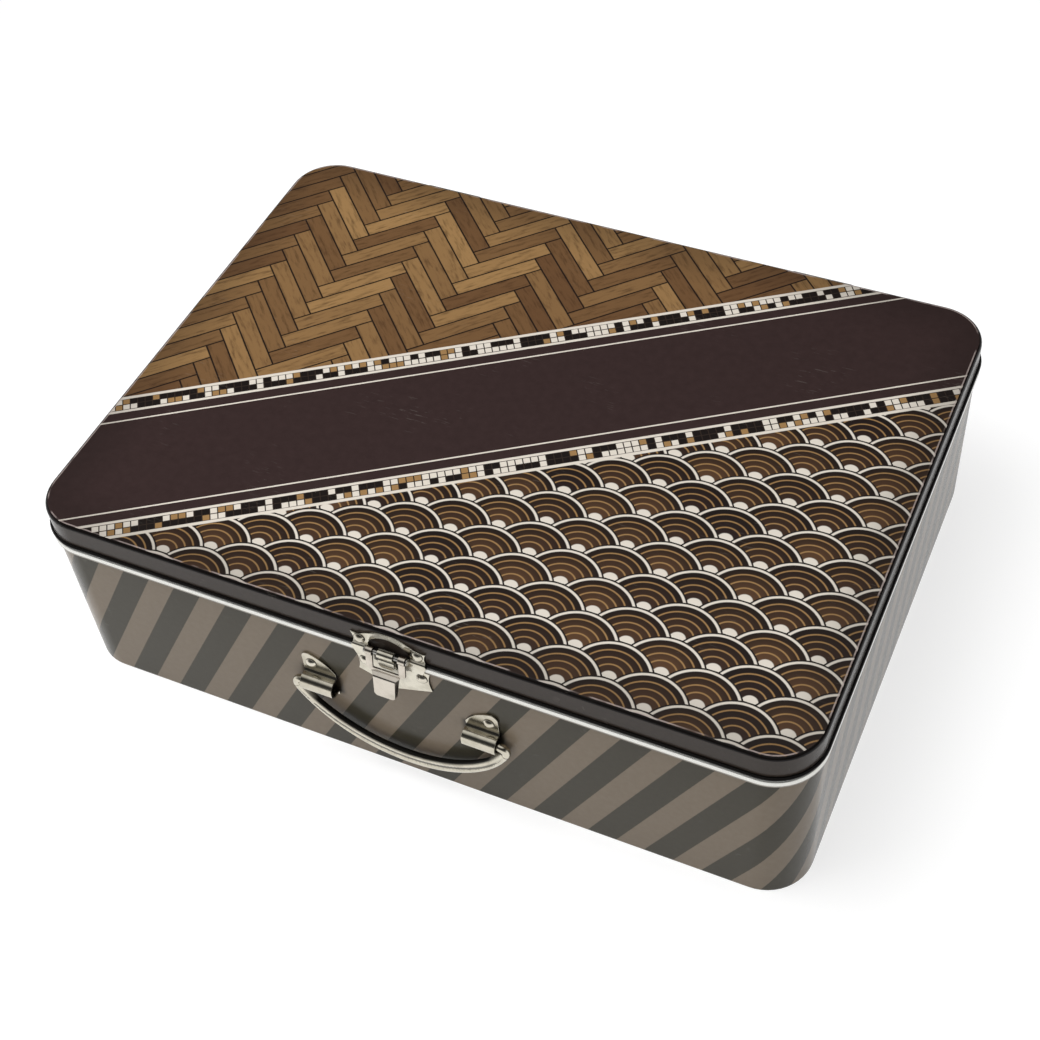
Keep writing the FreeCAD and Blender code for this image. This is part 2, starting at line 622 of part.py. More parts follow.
def latch_catch_plate():
    """Lower plate with a pointed foot and the rolled nose that the hasp snaps over."""
    top = CATCH_TOP
    half = LATCH_HALF_WIDTH
    side = top - CATCH_SIDE
    tip = (0, top - CATCH_POINT)
    curve = top - CATCH_CURVE
    waist = half - LATCH_WAIST
    middle = (top + side) / 2
    outline = [
        line((-half, top), (half, top)),
        arc((half, top), (waist, middle), (half, side)),
        arc((half, side), (CATCH_CURVE_X, curve), tip),
        arc(tip, (-CATCH_CURVE_X, curve), (-half, side)),
        arc((-half, side), (-waist, middle), (-half, top)),
    ]
    face = WALL_FACE + LATCH_SHEET
    plate = front_prism(outline, WALL_FACE, face)
    nose_line = TONGUE_FACE + NOSE_TONGUE_GAP + LATCH_SHEET / 2
    nose_out = HASP_LINE + NOSE_OVERHANG
    roll = (nose_out - nose_line) / 2
    plate_line = WALL_FACE + LATCH_SHEET / 2
    shift, rise = joggle(nose_line - plate_line, HASP_JOGGLE_RADIUS, -1)
    bend_end = UPPER_PLATE_LOW - NOSE_TONGUE_GAP
    bend_start = bend_end - rise
    nose_top = HASP_PIN_HEIGHT - HASP_KNUCKLE_RADIUS - NOSE_TOP_GAP
    roll_start = nose_top - LATCH_SHEET / 2 - roll
    nose_tip = HASP_BAR_TOP + NOSE_BAR_GAP
    slot_half = NOSE_HALF_WIDTH + NOSE_SLOT
    slot = front_box(-slot_half, slot_half, WALL_INSIDE, face + SHEET, bend_start, top + SHEET)
    root = bend_start - LATCH_SHEET
    moves = [(bend_start - root,)] + shift
    moves += [(roll_start - bend_end,), (roll, -180), (roll_start - nose_tip,)]
    section = sheet_section((plate_line, root), 90, moves, LATCH_SHEET)
    nose = rounded_end(across_front(section, -NOSE_HALF_WIDTH, NOSE_HALF_WIDTH), nose_tip, NOSE_CORNER)
    drills = [front_hole(x, z, WALL_INSIDE, face + SHEET) for x, z in CATCH_RIVETS]
    return joined([plate.cut(slot), nose]).cut(drills)


def latch_rivets(places, seat):
    return Part.makeCompound([rivet(x, z, seat, LATCH_SHEET + SHEET) for x, z in places])


def handle_ear():
    """Right-hand ear: a plate that rises to its outer end, folded into a barrel below."""
    plate_line = WALL_FACE + EAR_SHEET / 2
    plate_top = EAR_BARREL_TOP + EAR_PLATE_RISE
    top_line = EAR_BARREL_TOP - EAR_SHEET / 2
    low_line = EAR_BARREL_TOP - EAR_BARREL_HEIGHT + EAR_SHEET / 2
    front_line = WALL_FACE + EAR_BARREL_DEPTH - EAR_SHEET / 2
    shelf = front_line - plate_line - EAR_BEND - EAR_BARREL_RADIUS
    moves = [
        (plate_top - top_line - EAR_BEND,),
        (EAR_BEND, 90),
        (shelf,),
        (EAR_BARREL_RADIUS, -90),
        (top_line - low_line - 2 * EAR_BARREL_RADIUS,),
        (EAR_BARREL_RADIUS, -90),
        (shelf,),
        (EAR_BEND, 90),
        (EAR_LIP,),
    ]
    section = sheet_section((plate_line, plate_top), -90, moves, EAR_SHEET)
    fold = across_front(section, EAR_INNER_X, EAR_OUTER_X)
    base = low_line - EAR_BEND - EAR_LIP
    low_corner = (EAR_INNER_X, EAR_BARREL_TOP + EAR_PLATE_LOW)
    apex = (EAR_OUTER_X - EAR_CORNER, plate_top)
    outer = (EAR_OUTER_X, plate_top - EAR_CORNER)
    slope_x = (low_corner[0] + apex[0]) / 2 - EAR_PLATE_CROWN
    slope_z = (low_corner[1] + apex[1]) / 2 + EAR_PLATE_CROWN
    round_share = EAR_CORNER * (1 - math.sqrt(0.5))
    outline = [
        line((EAR_INNER_X, base), low_corner),
        arc(low_corner, (slope_x, slope_z), apex),
        arc(apex, (EAR_OUTER_X - round_share, plate_top - round_share), outer),
        line(outer, (EAR_OUTER_X, base)),
        line((EAR_OUTER_X, base), (EAR_INNER_X, base)),
    ]
    ear = fold.common(front_prism(outline, WALL_FACE - SHEET, EAR_BARREL_DEPTH))
    return ear.cut(front_hole(EAR_RIVET_X, EAR_RIVET_HEIGHT, WALL_INSIDE, 2 * EAR_SHEET))


def mirrored_x(shape):
    return shape.mirror(ORIGIN, X_AXIS)


def handle_section(share, centre_height):
    """Section of the handle band; share runs from -1 to 1 along the sweep."""
    fullness = 1 - share ** 2
    band = HANDLE_END + (HANDLE_BAND - HANDLE_END) * fullness
    thick = HANDLE_END + (HANDLE_THICKNESS - HANDLE_END) * fullness
    power = 1 + (HANDLE_SQUARENESS - 1) * fullness
    angle = math.radians(HANDLE_SWEEP) * share
    places = []
    for step in range(HANDLE_SECTION_POINTS):
        turn = 2 * math.pi * step / HANDLE_SECTION_POINTS
        across = math.copysign(abs(math.cos(turn)) ** power, math.cos(turn))
        out = math.copysign(abs(math.sin(turn)) ** power, math.sin(turn)) * thick / 2
        if out > 0:
            out -= HANDLE_GROOVE * fullness * math.exp(-(across / HANDLE_GROOVE_SHARE) ** 2)
        radius = HANDLE_OUTER_RADIUS - band / 2 * (1 - across)
        x = radius * math.sin(angle)
        z = centre_height - radius * math.cos(angle)
        places.append(FreeCAD.Vector(x, -WALL_FACE - HANDLE_REACH - out, z))
    curve = Part.BSplineCurve()
    curve.interpolate(places, PeriodicFlag=True)
    return Part.Wire(curve.toShape())


def carry_handle():
    """Bail: a grooved band that narrows to round ends, hooked inwards into the ears."""
    sweep = math.radians(HANDLE_SWEEP)
    end_radius = HANDLE_OUTER_RADIUS - HANDLE_END / 2
    centre_height = HANDLE_PIVOT_HEIGHT + (end_radius - HANDLE_BEND) * math.cos(sweep) - HANDLE_BEND
    shares = [2 * index / (HANDLE_SECTIONS - 1) - 1 for index in range(HANDLE_SECTIONS)]
    bow = Part.makeLoft([handle_section(share, centre_height) for share in shares], True, False)
    depth = -WALL_FACE - HANDLE_REACH
    end = FreeCAD.Vector(end_radius * math.sin(sweep), depth, centre_height - end_radius * math.cos(sweep))
    heading = FreeCAD.Vector(math.cos(sweep), 0, math.sin(sweep))
    hub = end + FreeCAD.Vector(-math.sin(sweep), 0, math.cos(sweep)) * HANDLE_BEND
    disc = Part.Face(Part.Wire(Part.makeCircle(HANDLE_PIN / 2, end, heading)))
    hook = disc.revolve(hub, -Y_AXIS, 180 - HANDLE_SWEEP)
    pin_start = FreeCAD.Vector(hub.x, depth, HANDLE_PIVOT_HEIGHT)
    pin = Part.makeCylinder(HANDLE_PIN / 2, HANDLE_PIN_LENGTH, pin_start, -X_AXIS)
    ends = [hook, pin, mirrored_x(hook), mirrored_x(pin)]
    return on_front(joined([bow] + ends))


def ear_rivets():
    seat = WALL_FACE + EAR_SHEET
    return Part.makeCompound([rivet(x, z, seat, EAR_SHEET + SHEET) for x, z in EAR_RIVETS])


def all_pieces():
    right_ear = handle_ear()
    pieces = {
        "body_wall": body_wall(),
        "bottom_panel": bottom_panel(),
        "lid_shell": lid_shell(),
        "handle_ear_left": mirrored_x(right_ear),
        "handle_ear_right": right_ear,
        "handle_ear_rivets": ear_rivets(),
        "carry_handle": carry_handle(),
        "latch_hasp_plate": latch_hasp_plate(),
        "latch_plate_rivets": latch_rivets(UPPER_RIVETS, LATCH_SHEET),
        "hasp_pin": hasp_pin(),
        "latch_hasp": latch_hasp(),
        "latch_catch_plate": latch_catch_plate(),
        "latch_catch_rivets": latch_rivets(CATCH_RIVETS, WALL_FACE + LATCH_SHEET),
        "hinge_body_rivets": hinge_rivets(BODY_LEAF_RIVETS, WALL_FACE + HINGE_SHEET),
        "hinge_lid_rivets": hinge_rivets(LID_LEAF_RIVETS, HINGE_SHEET),
    }
    hinge_parts = {
        "hinge_body_leaf": hinge_body_leaf(),
        "hinge_lid_leaf": hinge_lid_leaf(),
        "hinge_pin": hinge_pin(),
    }
    for name, shape in hinge_parts.items():
        for side, centre in zip(("left", "right"), hinge_centres()):
            pieces[name + "_" + side] = shape.translated(X_AXIS * centre)
    return pieces


def main():
    pieces = all_pieces()
    front = pieces["latch_hasp"].BoundBox.YMin
    back = pieces["hinge_pin_left"].BoundBox.Center.y + HINGE_KNUCKLE_RADIUS
    centring = Y_AXIS * (-(front + back) / 2)
    print("moved in Y to centre the footprint:", round(centring.y, 6))
    print("hinge axis reach and height:", HINGE_AXIS_REACH, HINGE_AXIS_HEIGHT)
    print("hasp pin height:", HASP_PIN_HEIGHT, "handle pivot height:", HANDLE_PIVOT_HEIGHT)
    os.makedirs("parts", exist_ok=True)
    for name, shape in pieces.items():
        placed = shape.translated(centring)
        print(name, "valid" if placed.isValid() else "INVALID", len(placed.Solids), round(placed.Volume, 2))
        placed.exportStep("parts/" + name + ".step")


main()
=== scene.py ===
"""Looks of a striped metal lunch box: its finishes, floor, lamps and camera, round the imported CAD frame."""

import json
import math

import bmesh
import bpy
from mathutils import Matrix, Vector


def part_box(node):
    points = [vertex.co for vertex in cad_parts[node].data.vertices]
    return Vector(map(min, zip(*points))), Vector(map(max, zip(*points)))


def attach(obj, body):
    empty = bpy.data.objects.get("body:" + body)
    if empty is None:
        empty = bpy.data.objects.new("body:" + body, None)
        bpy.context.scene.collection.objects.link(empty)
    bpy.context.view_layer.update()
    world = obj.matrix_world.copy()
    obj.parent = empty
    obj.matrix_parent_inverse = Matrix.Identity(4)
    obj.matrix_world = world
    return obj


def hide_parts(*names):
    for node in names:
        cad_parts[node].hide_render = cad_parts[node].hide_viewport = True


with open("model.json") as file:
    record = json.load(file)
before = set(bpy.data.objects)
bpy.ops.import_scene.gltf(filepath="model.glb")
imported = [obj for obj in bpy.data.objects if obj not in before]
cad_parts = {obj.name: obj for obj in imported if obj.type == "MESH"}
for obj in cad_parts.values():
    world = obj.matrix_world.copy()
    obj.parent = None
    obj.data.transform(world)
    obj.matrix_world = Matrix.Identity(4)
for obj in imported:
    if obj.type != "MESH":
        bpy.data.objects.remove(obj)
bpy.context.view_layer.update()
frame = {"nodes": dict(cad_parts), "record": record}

MM = 0.001

# The box's rounded outline, taken at the outer face of the lid skirt, inside its rolled rim
lid_low, lid_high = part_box("lid_shell")
RIM_REACH = 1.1 * MM
RIM_HEIGHT = 1.5 * MM
CORNER_RADIUS = 19 * MM
MIDDLE_Y = (lid_low.y + lid_high.y) / 2
CORNER_X = lid_high.x - RIM_REACH - CORNER_RADIUS
CORNER_Y = (lid_high.y - lid_low.y) / 2 - RIM_REACH - CORNER_RADIUS
LID_TOP = lid_high.z
LID_EDGE_RADIUS = 1.6 * MM

# The side wall inside that outline, and its rolled bead
SHEET = 0.35 * MM
WALL_INSET = 0.4 * MM
WALL_RADIUS = CORNER_RADIUS - WALL_INSET
WALL_FRONT = MIDDLE_Y - CORNER_Y - WALL_RADIUS
WALL_TOP = 73.1 * MM
BEAD_TOP = 77.2 * MM

# Diagonal stripes of the side wall, measured along the wall and up it, softened by a share of a pair
STRIPE_LEAN = 0.54
STRIPE_START = 61.1 * MM
STRIPE_PAIRS = 46
STRIPE_RAGGED = 0.25 * MM
STRIPE_SOFT = 0.008
WRAP_HALF = 2 * CORNER_X + 2 * CORNER_Y + math.pi * WALL_RADIUS
STRIPE_PITCH = 2 * WRAP_HALF / STRIPE_PAIRS

# The carry handle's bow, seen from the front
BOW_CENTRE = 61.94 * MM
BOW_RADIUS = 50.4 * MM
BOW_SWEEP = math.radians(64)
BOW_BAND = 7.0 * MM
BOW_END = 3.6 * MM
BOW_FACE = 1.3 * MM

# Places across the bow's band, from -1 at its inner edge to 1 at its outer edge
GROOVE_PLACE = -0.05
GROOVE_WIDTH = 0.15
INNER_EDGE = -0.62
INNER_SOFT = 0.25

# Painted shade and highlight and the bend line, in millimetres, the unit that the finishes measure in
ear_low, ear_high = (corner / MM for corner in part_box("handle_ear_right"))
WALL_FACE = WALL_FRONT / MM
BEAD_SHADE_HEIGHT = 74.7
BEAD_SOFT = 0.35
EAR_CREASE = 48.4
EAR_MARGIN = 1.6
HASP_HALF = 5.6
HASP_SHADE_LOW = 70.6
HASP_SHADE_HIGH = 78.6
FLAP_SHADE_LOW = 60.0
LID_BEND_LINE = 1.2
# Band of the painted highlight inside the lid's edge
HIGHLIGHT_BAND = (1.22, 1.72)
LID_SHADE = 26.0

# Shading of the pieces: edges sharper than this many degrees stay crisp
SHEET_CREASE = 35
ROUND_CREASE = 30
NO_CREASE = 180

# Mesh work: rounding of cut edges, height of a rivet's dome, and what counts as one place, flat or a side
EASED_EDGE = 0.16 * MM
RIVET_DOME = 1.4 * MM
MERGE_GAP = 0.002 * MM
CUT_GAP = 0.001 * MM
SEAM_GAP = 0.01 * MM
INTO_SHEET = 0.2 * MM
FLAT_DEGREES = 0.5
SIDE_FACING = 0.7

# Strength and depth of the bump on print, tin and nickel
PRINT_BUMP = (0.12, 2 * MM)
TIN_BUMP = (0.15, 2 * MM)
NICKEL_BUMP = (0.06, 0.1 * MM)


def tone(red, green, blue):
    """A colour given as it shows on a screen, 0 to 255, as the shader wants it."""
    shown = (red / 255, green / 255, blue / 255)
    linear = [c / 12.92 if c <= 0.04045 else ((c + 0.055) / 1.055) ** 2.4 for c in shown]
    return (*linear, 1.0)


# Prints and bare metals, each varied between two tones
TAUPE_STRIPE = tone(114, 102, 87), tone(125, 113, 98)
SLATE_STRIPE = tone(55, 51, 41), tone(65, 61, 50)
SKIRT_LACQUER = tone(46, 39, 34), tone(56, 48, 42)
CHOCOLATE = tone(46, 34, 33), tone(58, 44, 43)
DARK_LEAF = tone(38, 28, 26), tone(84, 60, 42)
WOOD = tone(98, 70, 46), tone(150, 117, 76)
TIN = tone(214, 214, 208), tone(232, 231, 226)
WIRE = tone(150, 148, 142), tone(196, 194, 188)

# Nickel plate, clean and tarnished
LATCH_NICKEL = tone(212, 207, 192), tone(174, 167, 150)
HASP_NICKEL = tone(206, 198, 186), tone(170, 162, 148)
# Painted shade: dark tones for the hasp's sides
HASP_SHADED_SIDE_NICKEL = tone(52, 46, 39), tone(38, 34, 29)
EAR_NICKEL = tone(200, 194, 178), tone(154, 147, 130)
BAIL_NICKEL = tone(204, 198, 182), tone(160, 153, 136)
RIVET_NICKEL = tone(214, 208, 193), tone(170, 163, 146)
# Painted shade: darker tones for the sides of the other sheet fittings
SHADED_SIDE_NICKEL = tone(84, 81, 73), tone(56, 54, 48)

# Single colours of the prints, of wear, of painted highlight and of painted shade
NEAR_BLACK = tone(27, 22, 20)
TAN = tone(150, 117, 76)
CREAM = tone(214, 206, 194)
WOOD_GRAIN = tone(62, 42, 27)
GROUT = tone(45, 36, 31)
BEND_BLACK = tone(14, 11, 10)
RIM_BLACK = tone(12, 10, 9)
# Painted highlight along the lid's edge
EDGE_HIGHLIGHT_PAINT = tone(164, 150, 145)
LID_SCUFF = tone(160, 154, 145)
WALL_SCUFF = tone(150, 146, 138)
# Painted shade: the bead's lower half, the wall round the ears, and the fittings' creases, hollows and feet
SHADED_TIN = tone(126, 119, 110)
WALL_SHADOW_PAINT = tone(22, 19, 15)
LATCH_SHADE_PAINT = tone(26, 23, 19)
EAR_SHADE_PAINT = tone(20, 18, 15)
BAIL_SHADE_PAINT = tone(16, 15, 13)
RIVET_SHADE_PAINT = tone(22, 20, 16)

# The lid's printed design, in millimetres from the middle of the lid
SASH_ANGLE = math.radians(33)
SASH_OFFSET = 6.0
SASH_PLAIN = 24.0
SASH_STRIP = 30.0
SASH_EDGE = 36.0
PRINT_SOFT = 0.1
TILE = 3.0
BLOCK = 7.5
BLOCK_RUN = 5
FAN_RADIUS = 16.0

# Cream lines along the sash: middle and half width
SASH_LINES = ((SASH_EDGE + 0.7, 0.7), (SASH_STRIP - 0.7, 0.6), (SASH_PLAIN, 0.35))

# Rings of a fan: middle and half width as shares of its radius, and colour
FAN_RINGS = ((0.93, 0.03, CREAM), (0.74, 0.018, TAN), (0.55, 0.018, TAN), (0.36, 0.018, TAN))
RING_SOFT = 0.012

# Studio surroundings: where each part starts and is full, by direction, and its level, where 1 is white
CEILING_START = (0.08, 0.4)
OVERHEAD_START = (0.66, 0.96)
LEFT_START = (-0.45, -0.95)
FRONT_START = (-0.3, -0.7)
CEILING_LEVEL = 0.04
OVERHEAD_LEVEL = 0.88
LEFT_LEVEL = 0.4
WALL_LEVEL = 0.72
MIRRORED_WALL_LEVEL = 1.0
OPEN_FRONT_LEVEL = 0.16

# The floor's paint, and the paint and glow that the camera and mirrors see near the box
FLOOR_PAINT = (0.86, 0.86, 0.86, 1.0)
SEEN_FLOOR_PAINT = (0.42, 0.42, 0.42, 1.0)
SEEN_FLOOR_GLOW = 0.68
BLACK = (0.0, 0.0, 0.0, 1.0)
WHITE = (1.0, 1.0, 1.0, 1.0)

# The floor in metres: its half width, its gap under the box, and where its shadow fades out
FLOOR_REACH = 6.0
FLOOR_GAP = 0.05 * MM
SHADOW_FADE = (0.25, 0.6)

# Studio lamps: name, place, width and power
LAMPS = (
    ("overhead_softbox", (-0.4, -0.25, 1.2), 0.8, 11.0),
    ("front_fill", (-0.15, -1.45, 0.55), 1.0, 5.2),
    ("back_fill", (-0.1, 1.5, 0.6), 1.0, 3.5),
    ("right_fill", (1.6, 0.2, 0.5), 1.0, 2.0),
)
LAMP_AIM = Vector((0.0, 0.0, 0.05))

# The camera, solved from the box's own edges in the photograph
CAMERA_PLACE = (0.22465, -0.4109, 0.57374)
CAMERA_RIGHT = Vector((0.90837858, 0.41213445, -0.07066507))
CAMERA_UP = Vector((-0.27259031, 0.711803, 0.64732604))
CAMERA_LENS = 59.64
CAMERA_REACH = 50
SENSOR_WIDTH = 36


class Bench:
    """Sets out and wires the nodes of one material, group or world."""

    def __init__(self, tree):
        self.tree = tree
        tree.nodes.clear()

    def add(self, kind, **settings):
        made = self.tree.nodes.new("ShaderNode" + kind)
        for name, value in settings.items():
            setattr(made, name, value)
        return made

    def plug(self, socket, value):
        """Links a socket to another, or sets its own value."""
        if isinstance(value, bpy.types.NodeSocket):
            self.tree.links.new(value, socket)
        else:
            socket.default_value = value

    def maths(self, operation, *values):
        made = self.add("Math", operation=operation)
        for socket, value in zip(made.inputs, values):
            self.plug(socket, value)
        return made.outputs[0]

    def plus(self, first, *others):
        for other in others:
            first = self.maths("ADD", first, other)
        return first

    def minus(self, first, second):
        return self.maths("SUBTRACT", first, second)

    def times(self, first, *others):
        for other in others:
            first = self.maths("MULTIPLY", first, other)
        return first

    def size(self, value):
        return self.maths("ABSOLUTE", value)

    def larger(self, first, second):
        return self.maths("MAXIMUM", first, second)

    def smaller(self, first, second):
        return self.maths("MINIMUM", first, second)

    def length(self, x, y):
        return self.maths("SQRT", self.plus(self.times(x, x), self.times(y, y)))

    def from_end(self, value, whole=1.0):
        """How far a value that runs from 0 to whole lies from the nearer end."""
        return self.minus(whole / 2, self.size(self.minus(value, whole / 2)))

    def rise(self, value, start, end):
        """A mask that goes smoothly from 0 at start to 1 at end."""
        made = self.add("MapRange", interpolation_type="SMOOTHSTEP")
        for socket, given in zip(made.inputs, (value, start, end, 0.0, 1.0)):
            self.plug(socket, given)
        return made.outputs["Result"]

    def spread(self, value, low, high):
        """Takes a value of 0 to 1 to the range from low to high."""
        made = self.add("MapRange")
        for socket, given in zip(made.inputs, (value, 0.0, 1.0, low, high)):
            self.plug(socket, given)
        return made.outputs["Result"]

    def band(self, value, start, end, soft):
        """A mask that is 1 between start and end, with soft flanks."""
        enters = self.rise(value, start - soft, start + soft)
        leaves = self.rise(value, end + soft, end - soft)
        return self.times(enters, leaves)

    def choose(self, share, first, second):
        """A colour that goes from first to second as share goes from 0 to 1."""
        made = self.add("Mix", data_type="RGBA")
        self.plug(made.inputs["Factor"], share)
        self.plug(made.inputs[6], first)
        self.plug(made.inputs[7], second)
        return made.outputs[2]

    def pick(self, share, first, second):
        """A number that goes from first to second as share goes from 0 to 1."""
        made = self.add("Mix", data_type="FLOAT")
        self.plug(made.inputs["Factor"], share)
        self.plug(made.inputs[2], first)
        self.plug(made.inputs[3], second)
        return made.outputs[0]

    def point(self, x, y, z=0.0):
        made = self.add("CombineXYZ")
        for socket, value in zip(made.inputs, (x, y, z)):
            self.plug(socket, value)
        return made.outputs[0]

    def split(self, vector):
        made = self.add("SeparateXYZ")
        self.plug(made.inputs[0], vector)
        return made.outputs[0], made.outputs[1], made.outputs[2]

    def place(self):
        """The piece's own coordinates, in millimetres."""
        made = self.add("VectorMath", operation="SCALE")
        self.plug(made.inputs[0], self.add("TexCoord").outputs["Object"])
        made.inputs["Scale"].default_value = 1 / MM
        return made.outputs[0]

    def wrap(self):
        """How far along the wall and how far up it a point lies, in metres."""
        along, height, _ = self.split(self.add("UVMap", uv_map="wrap").outputs[0])
        return along, height

    def stretch(self, vector, x, y, z):
        made = self.add("VectorMath", operation="MULTIPLY")
        self.plug(made.inputs[0], vector)
        made.inputs[1].default_value = (x, y, z)
        return made.outputs[0]

    def noise(self, vector, scale, detail=2.0, roughness=0.5):
        made = self.add("TexNoise")
        self.plug(made.inputs["Vector"], vector)
        self.plug(made.inputs["Scale"], scale)
        made.inputs["Detail"].default_value = detail
        made.inputs["Roughness"].default_value = roughness
        return made.outputs[0]

    def chance(self, x, y):
        """A number from 0 to 1 that is fixed for each whole x and y."""
        made = self.add("TexWhiteNoise", noise_dimensions="2D")
        self.plug(made.inputs["Vector"], self.point(x, y))
        return made.outputs["Value"]

    def mark(self, name):
        """A number that the mesh holds at each vertex."""
        return self.add("Attribute", attribute_name=name).outputs["Fac"]

    def bump(self, height, strength, distance):
        made = self.add("Bump")
        made.inputs["Strength"].default_value = strength
        made.inputs["Distance"].default_value = distance
        self.plug(made.inputs["Height"], height)
        return made.outputs[0]

    def surface(self, **values):
        """The Principled shader on the material's output, its sockets named with underscores."""
        shader = self.add("BsdfPrincipled")
        for name, value in values.items():
            self.plug(shader.inputs[name.replace("_", " ")], value)
        output = self.add("OutputMaterial")
        self.plug(output.inputs["Surface"], shader.outputs[0])

    def use(self, group, **values):
        made = self.add("Group", node_tree=group)
        for name, value in values.items():
            self.plug(made.inputs[name], value)
        return made.outputs


def new_material(name):
    material = bpy.data.materials.new(name)
    material.use_nodes = True
    return material, Bench(material.node_tree)


def new_group(name, inputs, outputs):
    """An empty node group; a default of three numbers makes a vector input, one number a value."""
    group = bpy.data.node_groups.new(name, "ShaderNodeTree")
    for label, default in inputs:
        kind = "NodeSocketVector" if isinstance(default, tuple) else "NodeSocketFloat"
        socket = group.interface.new_socket(label, in_out="INPUT", socket_type=kind)
        socket.default_value = default
    for label in outputs:
        group.interface.new_socket(label, in_out="OUTPUT", socket_type="NodeSocketFloat")
    bench = Bench(group)
    given = group.nodes.new("NodeGroupInput").outputs
    result = group.nodes.new("NodeGroupOutput").inputs
    return group, bench, given, result


def rolled_sheet_group():
    """Long soft waves of thin rolled sheet, and the faint scuffs that handling leaves on it."""
    group, bench, given, result = new_group(
        "rolled_sheet", [("Place", (0.0, 0.0, 0.0)), ("Scuffs", 0.5)], ["Waves", "Scuff mask"]
    )
    bench.plug(result["Waves"], bench.noise(given["Place"], 0.016, detail=1.0))
    patches = bench.rise(bench.noise(given["Place"], 0.035, detail=3.0), 0.52, 0.72)
    stroke_place = bench.stretch(given["Place"], 0.35, 2.6, 0.35)
    strokes = bench.rise(bench.noise(stroke_place, 0.5, detail=3.0, roughness=0.6), 0.6, 0.68)
    bench.plug(result["Scuff mask"], bench.times(patches, strokes, given["Scuffs"]))
    return group


def plating_group():
    """Uneven tarnish and fine tumbling marks of nickel plate."""
    group, bench, given, result = new_group(
        "aged_plating", [("Place", (0.0, 0.0, 0.0)), ("Tarnish", 0.4)], ["Tarnish mask", "Marks"]
    )
    clouds = bench.noise(given["Place"], 0.16, detail=3.0, roughness=0.55)
    bench.plug(result["Tarnish mask"], bench.times(bench.rise(clouds, 0.38, 0.8), given["Tarnish"]))
    mark_place = bench.stretch(given["Place"], 1.0, 1.0, 4.0)
    bench.plug(result["Marks"], bench.noise(mark_place, 1.6, detail=3.0, roughness=0.6))
    return group


rolled_sheet = rolled_sheet_group()
aged_plating = plating_group()


def ear_painted_shade(bench, place):
    """A mask of painted shadow on the front wall round the ears' barrels."""
    x, y, height = bench.split(place)
    beside = bench.band(bench.size(x), ear_low.x - EAR_MARGIN, ear_high.x + EAR_MARGIN, EAR_MARGIN)
    behind = bench.band(height, ear_low.z, EAR_CREASE + EAR_MARGIN, EAR_MARGIN)
    on_front = bench.rise(y, WALL_FACE + 2.0, WALL_FACE + 1.0)
    return bench.times(beside, behind, on_front, 0.92)


def striped_wall_print():
    """Varnished diagonal stripes, printed along the wall's own length and height."""
    material, bench = new_material("striped_wall_print")
    along, height = bench.wrap()
    place = bench.place()
    run = bench.minus(along, bench.times(height, STRIPE_LEAN))
    ragged = bench.times(bench.minus(bench.noise(place, 1.1), 0.5), STRIPE_RAGGED)
    pairs = bench.maths("DIVIDE", bench.plus(bench.minus(run, STRIPE_START), ragged), STRIPE_PITCH)
    pale = bench.band(bench.maths("FRACT", pairs), STRIPE_SOFT, 0.5, STRIPE_SOFT)
    mottle = bench.noise(place, 0.4, detail=4.0, roughness=0.6)
    taupe = bench.choose(mottle, *TAUPE_STRIPE)
    slate = bench.choose(mottle, *SLATE_STRIPE)
    sheet = bench.use(rolled_sheet, Place=place, Scuffs=0.12)
    colour = bench.choose(sheet["Scuff mask"], bench.choose(pale, slate, taupe), WALL_SCUFF)
    # Painted shadow darkens the wall round the ears' barrels
    bench.surface(
        Base_Color=bench.choose(ear_painted_shade(bench, place), colour, WALL_SHADOW_PAINT),
        Roughness=bench.spread(mottle, 0.2, 0.28),
        Specular_IOR_Level=0.12,
        Sheen_Weight=0.18,
        Sheen_Roughness=0.25,
        Normal=bench.bump(sheet["Waves"], *PRINT_BUMP),
    )
    return material


def tin_plate(bench, place, lower_shade=None):
    """Bare tin plate with faint rolling lines along its first coordinate, and painted shade under the given
    mask.
    """
    lines = bench.noise(bench.stretch(place, 0.02, 1.0, 1.0), 2.5, detail=3.0, roughness=0.6)
    colour = bench.choose(bench.noise(place, 0.05, detail=3.0), *TIN)
    if lower_shade is not None:
        colour = bench.choose(lower_shade, colour, SHADED_TIN)
    sheet = bench.use(rolled_sheet, Place=place, Scuffs=0.5)
    relief = bench.plus(sheet["Waves"], bench.times(lines, 0.01))
    bench.surface(
        Base_Color=colour,
        Metallic=0.75,
        Roughness=bench.spread(lines, 0.2, 0.36),
        Normal=bench.bump(relief, *TIN_BUMP),
    )


def bright_tin():
    """Tin of the bottom and of the lid's inside."""
    material, bench = new_material("bright_tin")
    tin_plate(bench, bench.place())
    return material


def wall_tin():
    """Tin of the wall's inside and neck, rolled along the wall."""
    material, bench = new_material("bright_tin_wall")
    along, height = bench.wrap()
    tin_plate(bench, bench.point(bench.times(along, 1 / MM), 0.0, bench.times(height, 1 / MM)))
    return material


def bead_tin():
    """Tin of the rolled bead, with painted shade along its lower half."""
    material, bench = new_material("bright_tin_bead")
    along, height = bench.wrap()
    up = bench.times(height, 1 / MM)
    # Painted shade along the bead's lower half
    lower_shade = bench.rise(up, BEAD_SHADE_HEIGHT + BEAD_SOFT, BEAD_SHADE_HEIGHT - BEAD_SOFT)
    tin_plate(bench, bench.point(bench.times(along, 1 / MM), 0.0, up), lower_shade)
    return material


def aged_nickel(bench, place, tones, tarnish, polish):
    """What every nickel finish starts from: its plating masks, metal colour and roughness."""
    plating = bench.use(aged_plating, Place=place, Tarnish=tarnish)
    metal = bench.choose(plating["Tarnish mask"], *tones)
    roughness = bench.spread(plating["Marks"], *polish)
    return plating, metal, roughness


